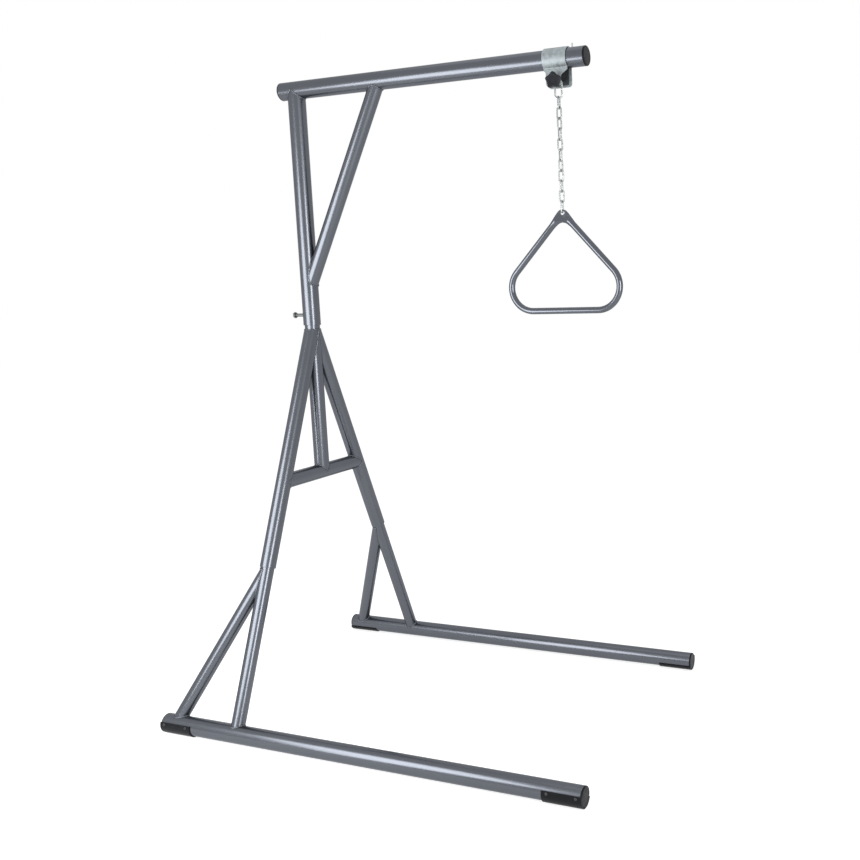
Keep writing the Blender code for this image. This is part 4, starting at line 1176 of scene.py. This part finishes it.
class TRAPEZE_OT_studio(Operator):
    """White sweep, soft lamps and the camera"""
    bl_idname = "trapeze.studio"
    bl_label = "Studio"

    def execute(self, context):
        settings = context.scene.trapeze_studio
        self.add_floor()
        self.set_world(context.scene, settings)
        for lamp in LAMPS:
            self.add_lamp(*lamp)
        self.add_camera(context.scene, settings)
        return {"FINISHED"}

    def add_floor(self):
        bpy.ops.object.select_all(action="DESELECT")
        bpy.ops.mesh.primitive_circle_add(vertices=96, radius=FLOOR_RADIUS, fill_type="NGON",
                                          location=(0, 0, -0.0002))
        floor = bpy.context.object
        floor.name = "studio_floor"
        material = bpy.data.materials.new("white paper")
        material.use_nodes = True
        tree = material.node_tree
        shader = tree.nodes["Principled BSDF"]
        shader.inputs["Base Color"].default_value = rgba([PAPER_GREY] * 3)
        shader.inputs["Roughness"].default_value = 0.9
        shader.inputs["Specular IOR Level"].default_value = 0.0
        shader.inputs["Emission Color"].default_value = (1, 1, 1, 1)
        shader.inputs["Emission Strength"].default_value = PAPER_GLOW
        floor.data.materials.append(material)

    def set_world(self, scene, settings):
        """White where the camera, a reflection or a refraction sees it, and a softer fill for the light."""
        world = bpy.data.worlds.new("studio")
        scene.world = world
        world.use_nodes = True
        tree = world.node_tree
        back = tree.nodes["Background"]
        back.inputs["Color"].default_value = (1, 1, 1, 1)
        path = tree.nodes.new("ShaderNodeLightPath")
        seen = None
        for output in ("Is Camera Ray", "Is Glossy Ray", "Is Transmission Ray"):
            if seen is None:
                seen = path.outputs[output]
                continue
            join = tree.nodes.new("ShaderNodeMath")
            join.operation = "MAXIMUM"
            tree.links.new(seen, join.inputs[0])
            tree.links.new(path.outputs[output], join.inputs[1])
            seen = join.outputs[0]
        level = tree.nodes.new("ShaderNodeMix")
        level.inputs["A"].default_value = settings.fill
        level.inputs["B"].default_value = settings.backdrop
        tree.links.new(seen, level.inputs["Factor"])
        tree.links.new(level.outputs["Result"], back.inputs["Strength"])

    def add_lamp(self, name, place, aim, size, power, lean):
        data = bpy.data.lights.new(name, "AREA")
        data.shape = "RECTANGLE"
        data.size, data.size_y = size
        data.energy = power
        lamp = bpy.data.objects.new(name, data)
        lamp.location = place
        facing = (Vector(aim) - Vector(place)).to_track_quat("-Z", "Y")
        turn = facing @ Quaternion((0, 0, 1), math.radians(lean))
        lamp.rotation_euler = turn.to_euler()
        lamp.visible_camera = False
        bpy.context.collection.objects.link(lamp)

    def add_camera(self, scene, settings):
        data = bpy.data.cameras.new("camera")
        data.sensor_width = 36.0
        data.lens = settings.lens
        data.shift_x = 0.5 - VIEW_CENTRE[0] / PICTURE_SIZE
        data.shift_y = VIEW_CENTRE[1] / PICTURE_SIZE - 0.5
        data.clip_start = 0.01
        camera = bpy.data.objects.new("camera", data)
        ahead = Vector((-math.sin(settings.yaw) * math.cos(settings.pitch),
                        math.cos(settings.yaw) * math.cos(settings.pitch), -math.sin(settings.pitch)))
        level = Vector((math.cos(settings.yaw), math.sin(settings.yaw), 0.0))
        rise = level.cross(ahead)
        right = level * math.cos(settings.roll) + rise * math.sin(settings.roll)
        top = rise * math.cos(settings.roll) - level * math.sin(settings.roll)
        turn = Matrix((right, top, -ahead)).transposed().to_4x4()
        camera.matrix_world = Matrix.Translation(settings.eye) @ turn
        bpy.context.collection.objects.link(camera)
        scene.camera = camera
        scene.view_settings.view_transform = "Standard"


STEPS = (TRAPEZE_OT_base, TRAPEZE_OT_a_frame, TRAPEZE_OT_mast, TRAPEZE_OT_welds, TRAPEZE_OT_plugs,
         TRAPEZE_OT_pads, TRAPEZE_OT_screws, TRAPEZE_OT_lock_bolt, TRAPEZE_OT_clamp, TRAPEZE_OT_fasteners,
         TRAPEZE_OT_knob, TRAPEZE_OT_chain, TRAPEZE_OT_handle, TRAPEZE_OT_studio)


class TRAPEZE_PT_sidebar(Panel):
    """Lists the steps and their settings"""
    bl_label = "Freestanding trapeze"
    bl_idname = "TRAPEZE_PT_sidebar"
    bl_space_type = "VIEW_3D"
    bl_region_type = "UI"
    bl_category = "Trapeze"

    def draw(self, context):
        for step in STEPS:
            self.layout.operator(step.bl_idname)
        scene = context.scene
        for group in (scene.trapeze_sizes, scene.trapeze_finish, scene.trapeze_studio):
            for key in type(group).__annotations__:
                self.layout.prop(group, key)


CLASSES = (TrapezeSizes, TrapezeFinish, StudioSettings, *STEPS, TRAPEZE_PT_sidebar)


def register():
    for item in CLASSES:
        bpy.utils.register_class(item)
    bpy.types.Scene.trapeze_sizes = PointerProperty(type=TrapezeSizes)
    bpy.types.Scene.trapeze_finish = PointerProperty(type=TrapezeFinish)
    bpy.types.Scene.trapeze_studio = PointerProperty(type=StudioSettings)


def unregister():
    del bpy.types.Scene.trapeze_studio
    del bpy.types.Scene.trapeze_finish
    del bpy.types.Scene.trapeze_sizes
    for item in reversed(CLASSES):
        bpy.utils.unregister_class(item)


def main():
    register()
    bpy.ops.object.select_all(action="DESELECT")
    for step in STEPS:
        group, action = step.bl_idname.split(".")
        getattr(getattr(bpy.ops, group), action)()


if __name__ == "__main__":
    main()
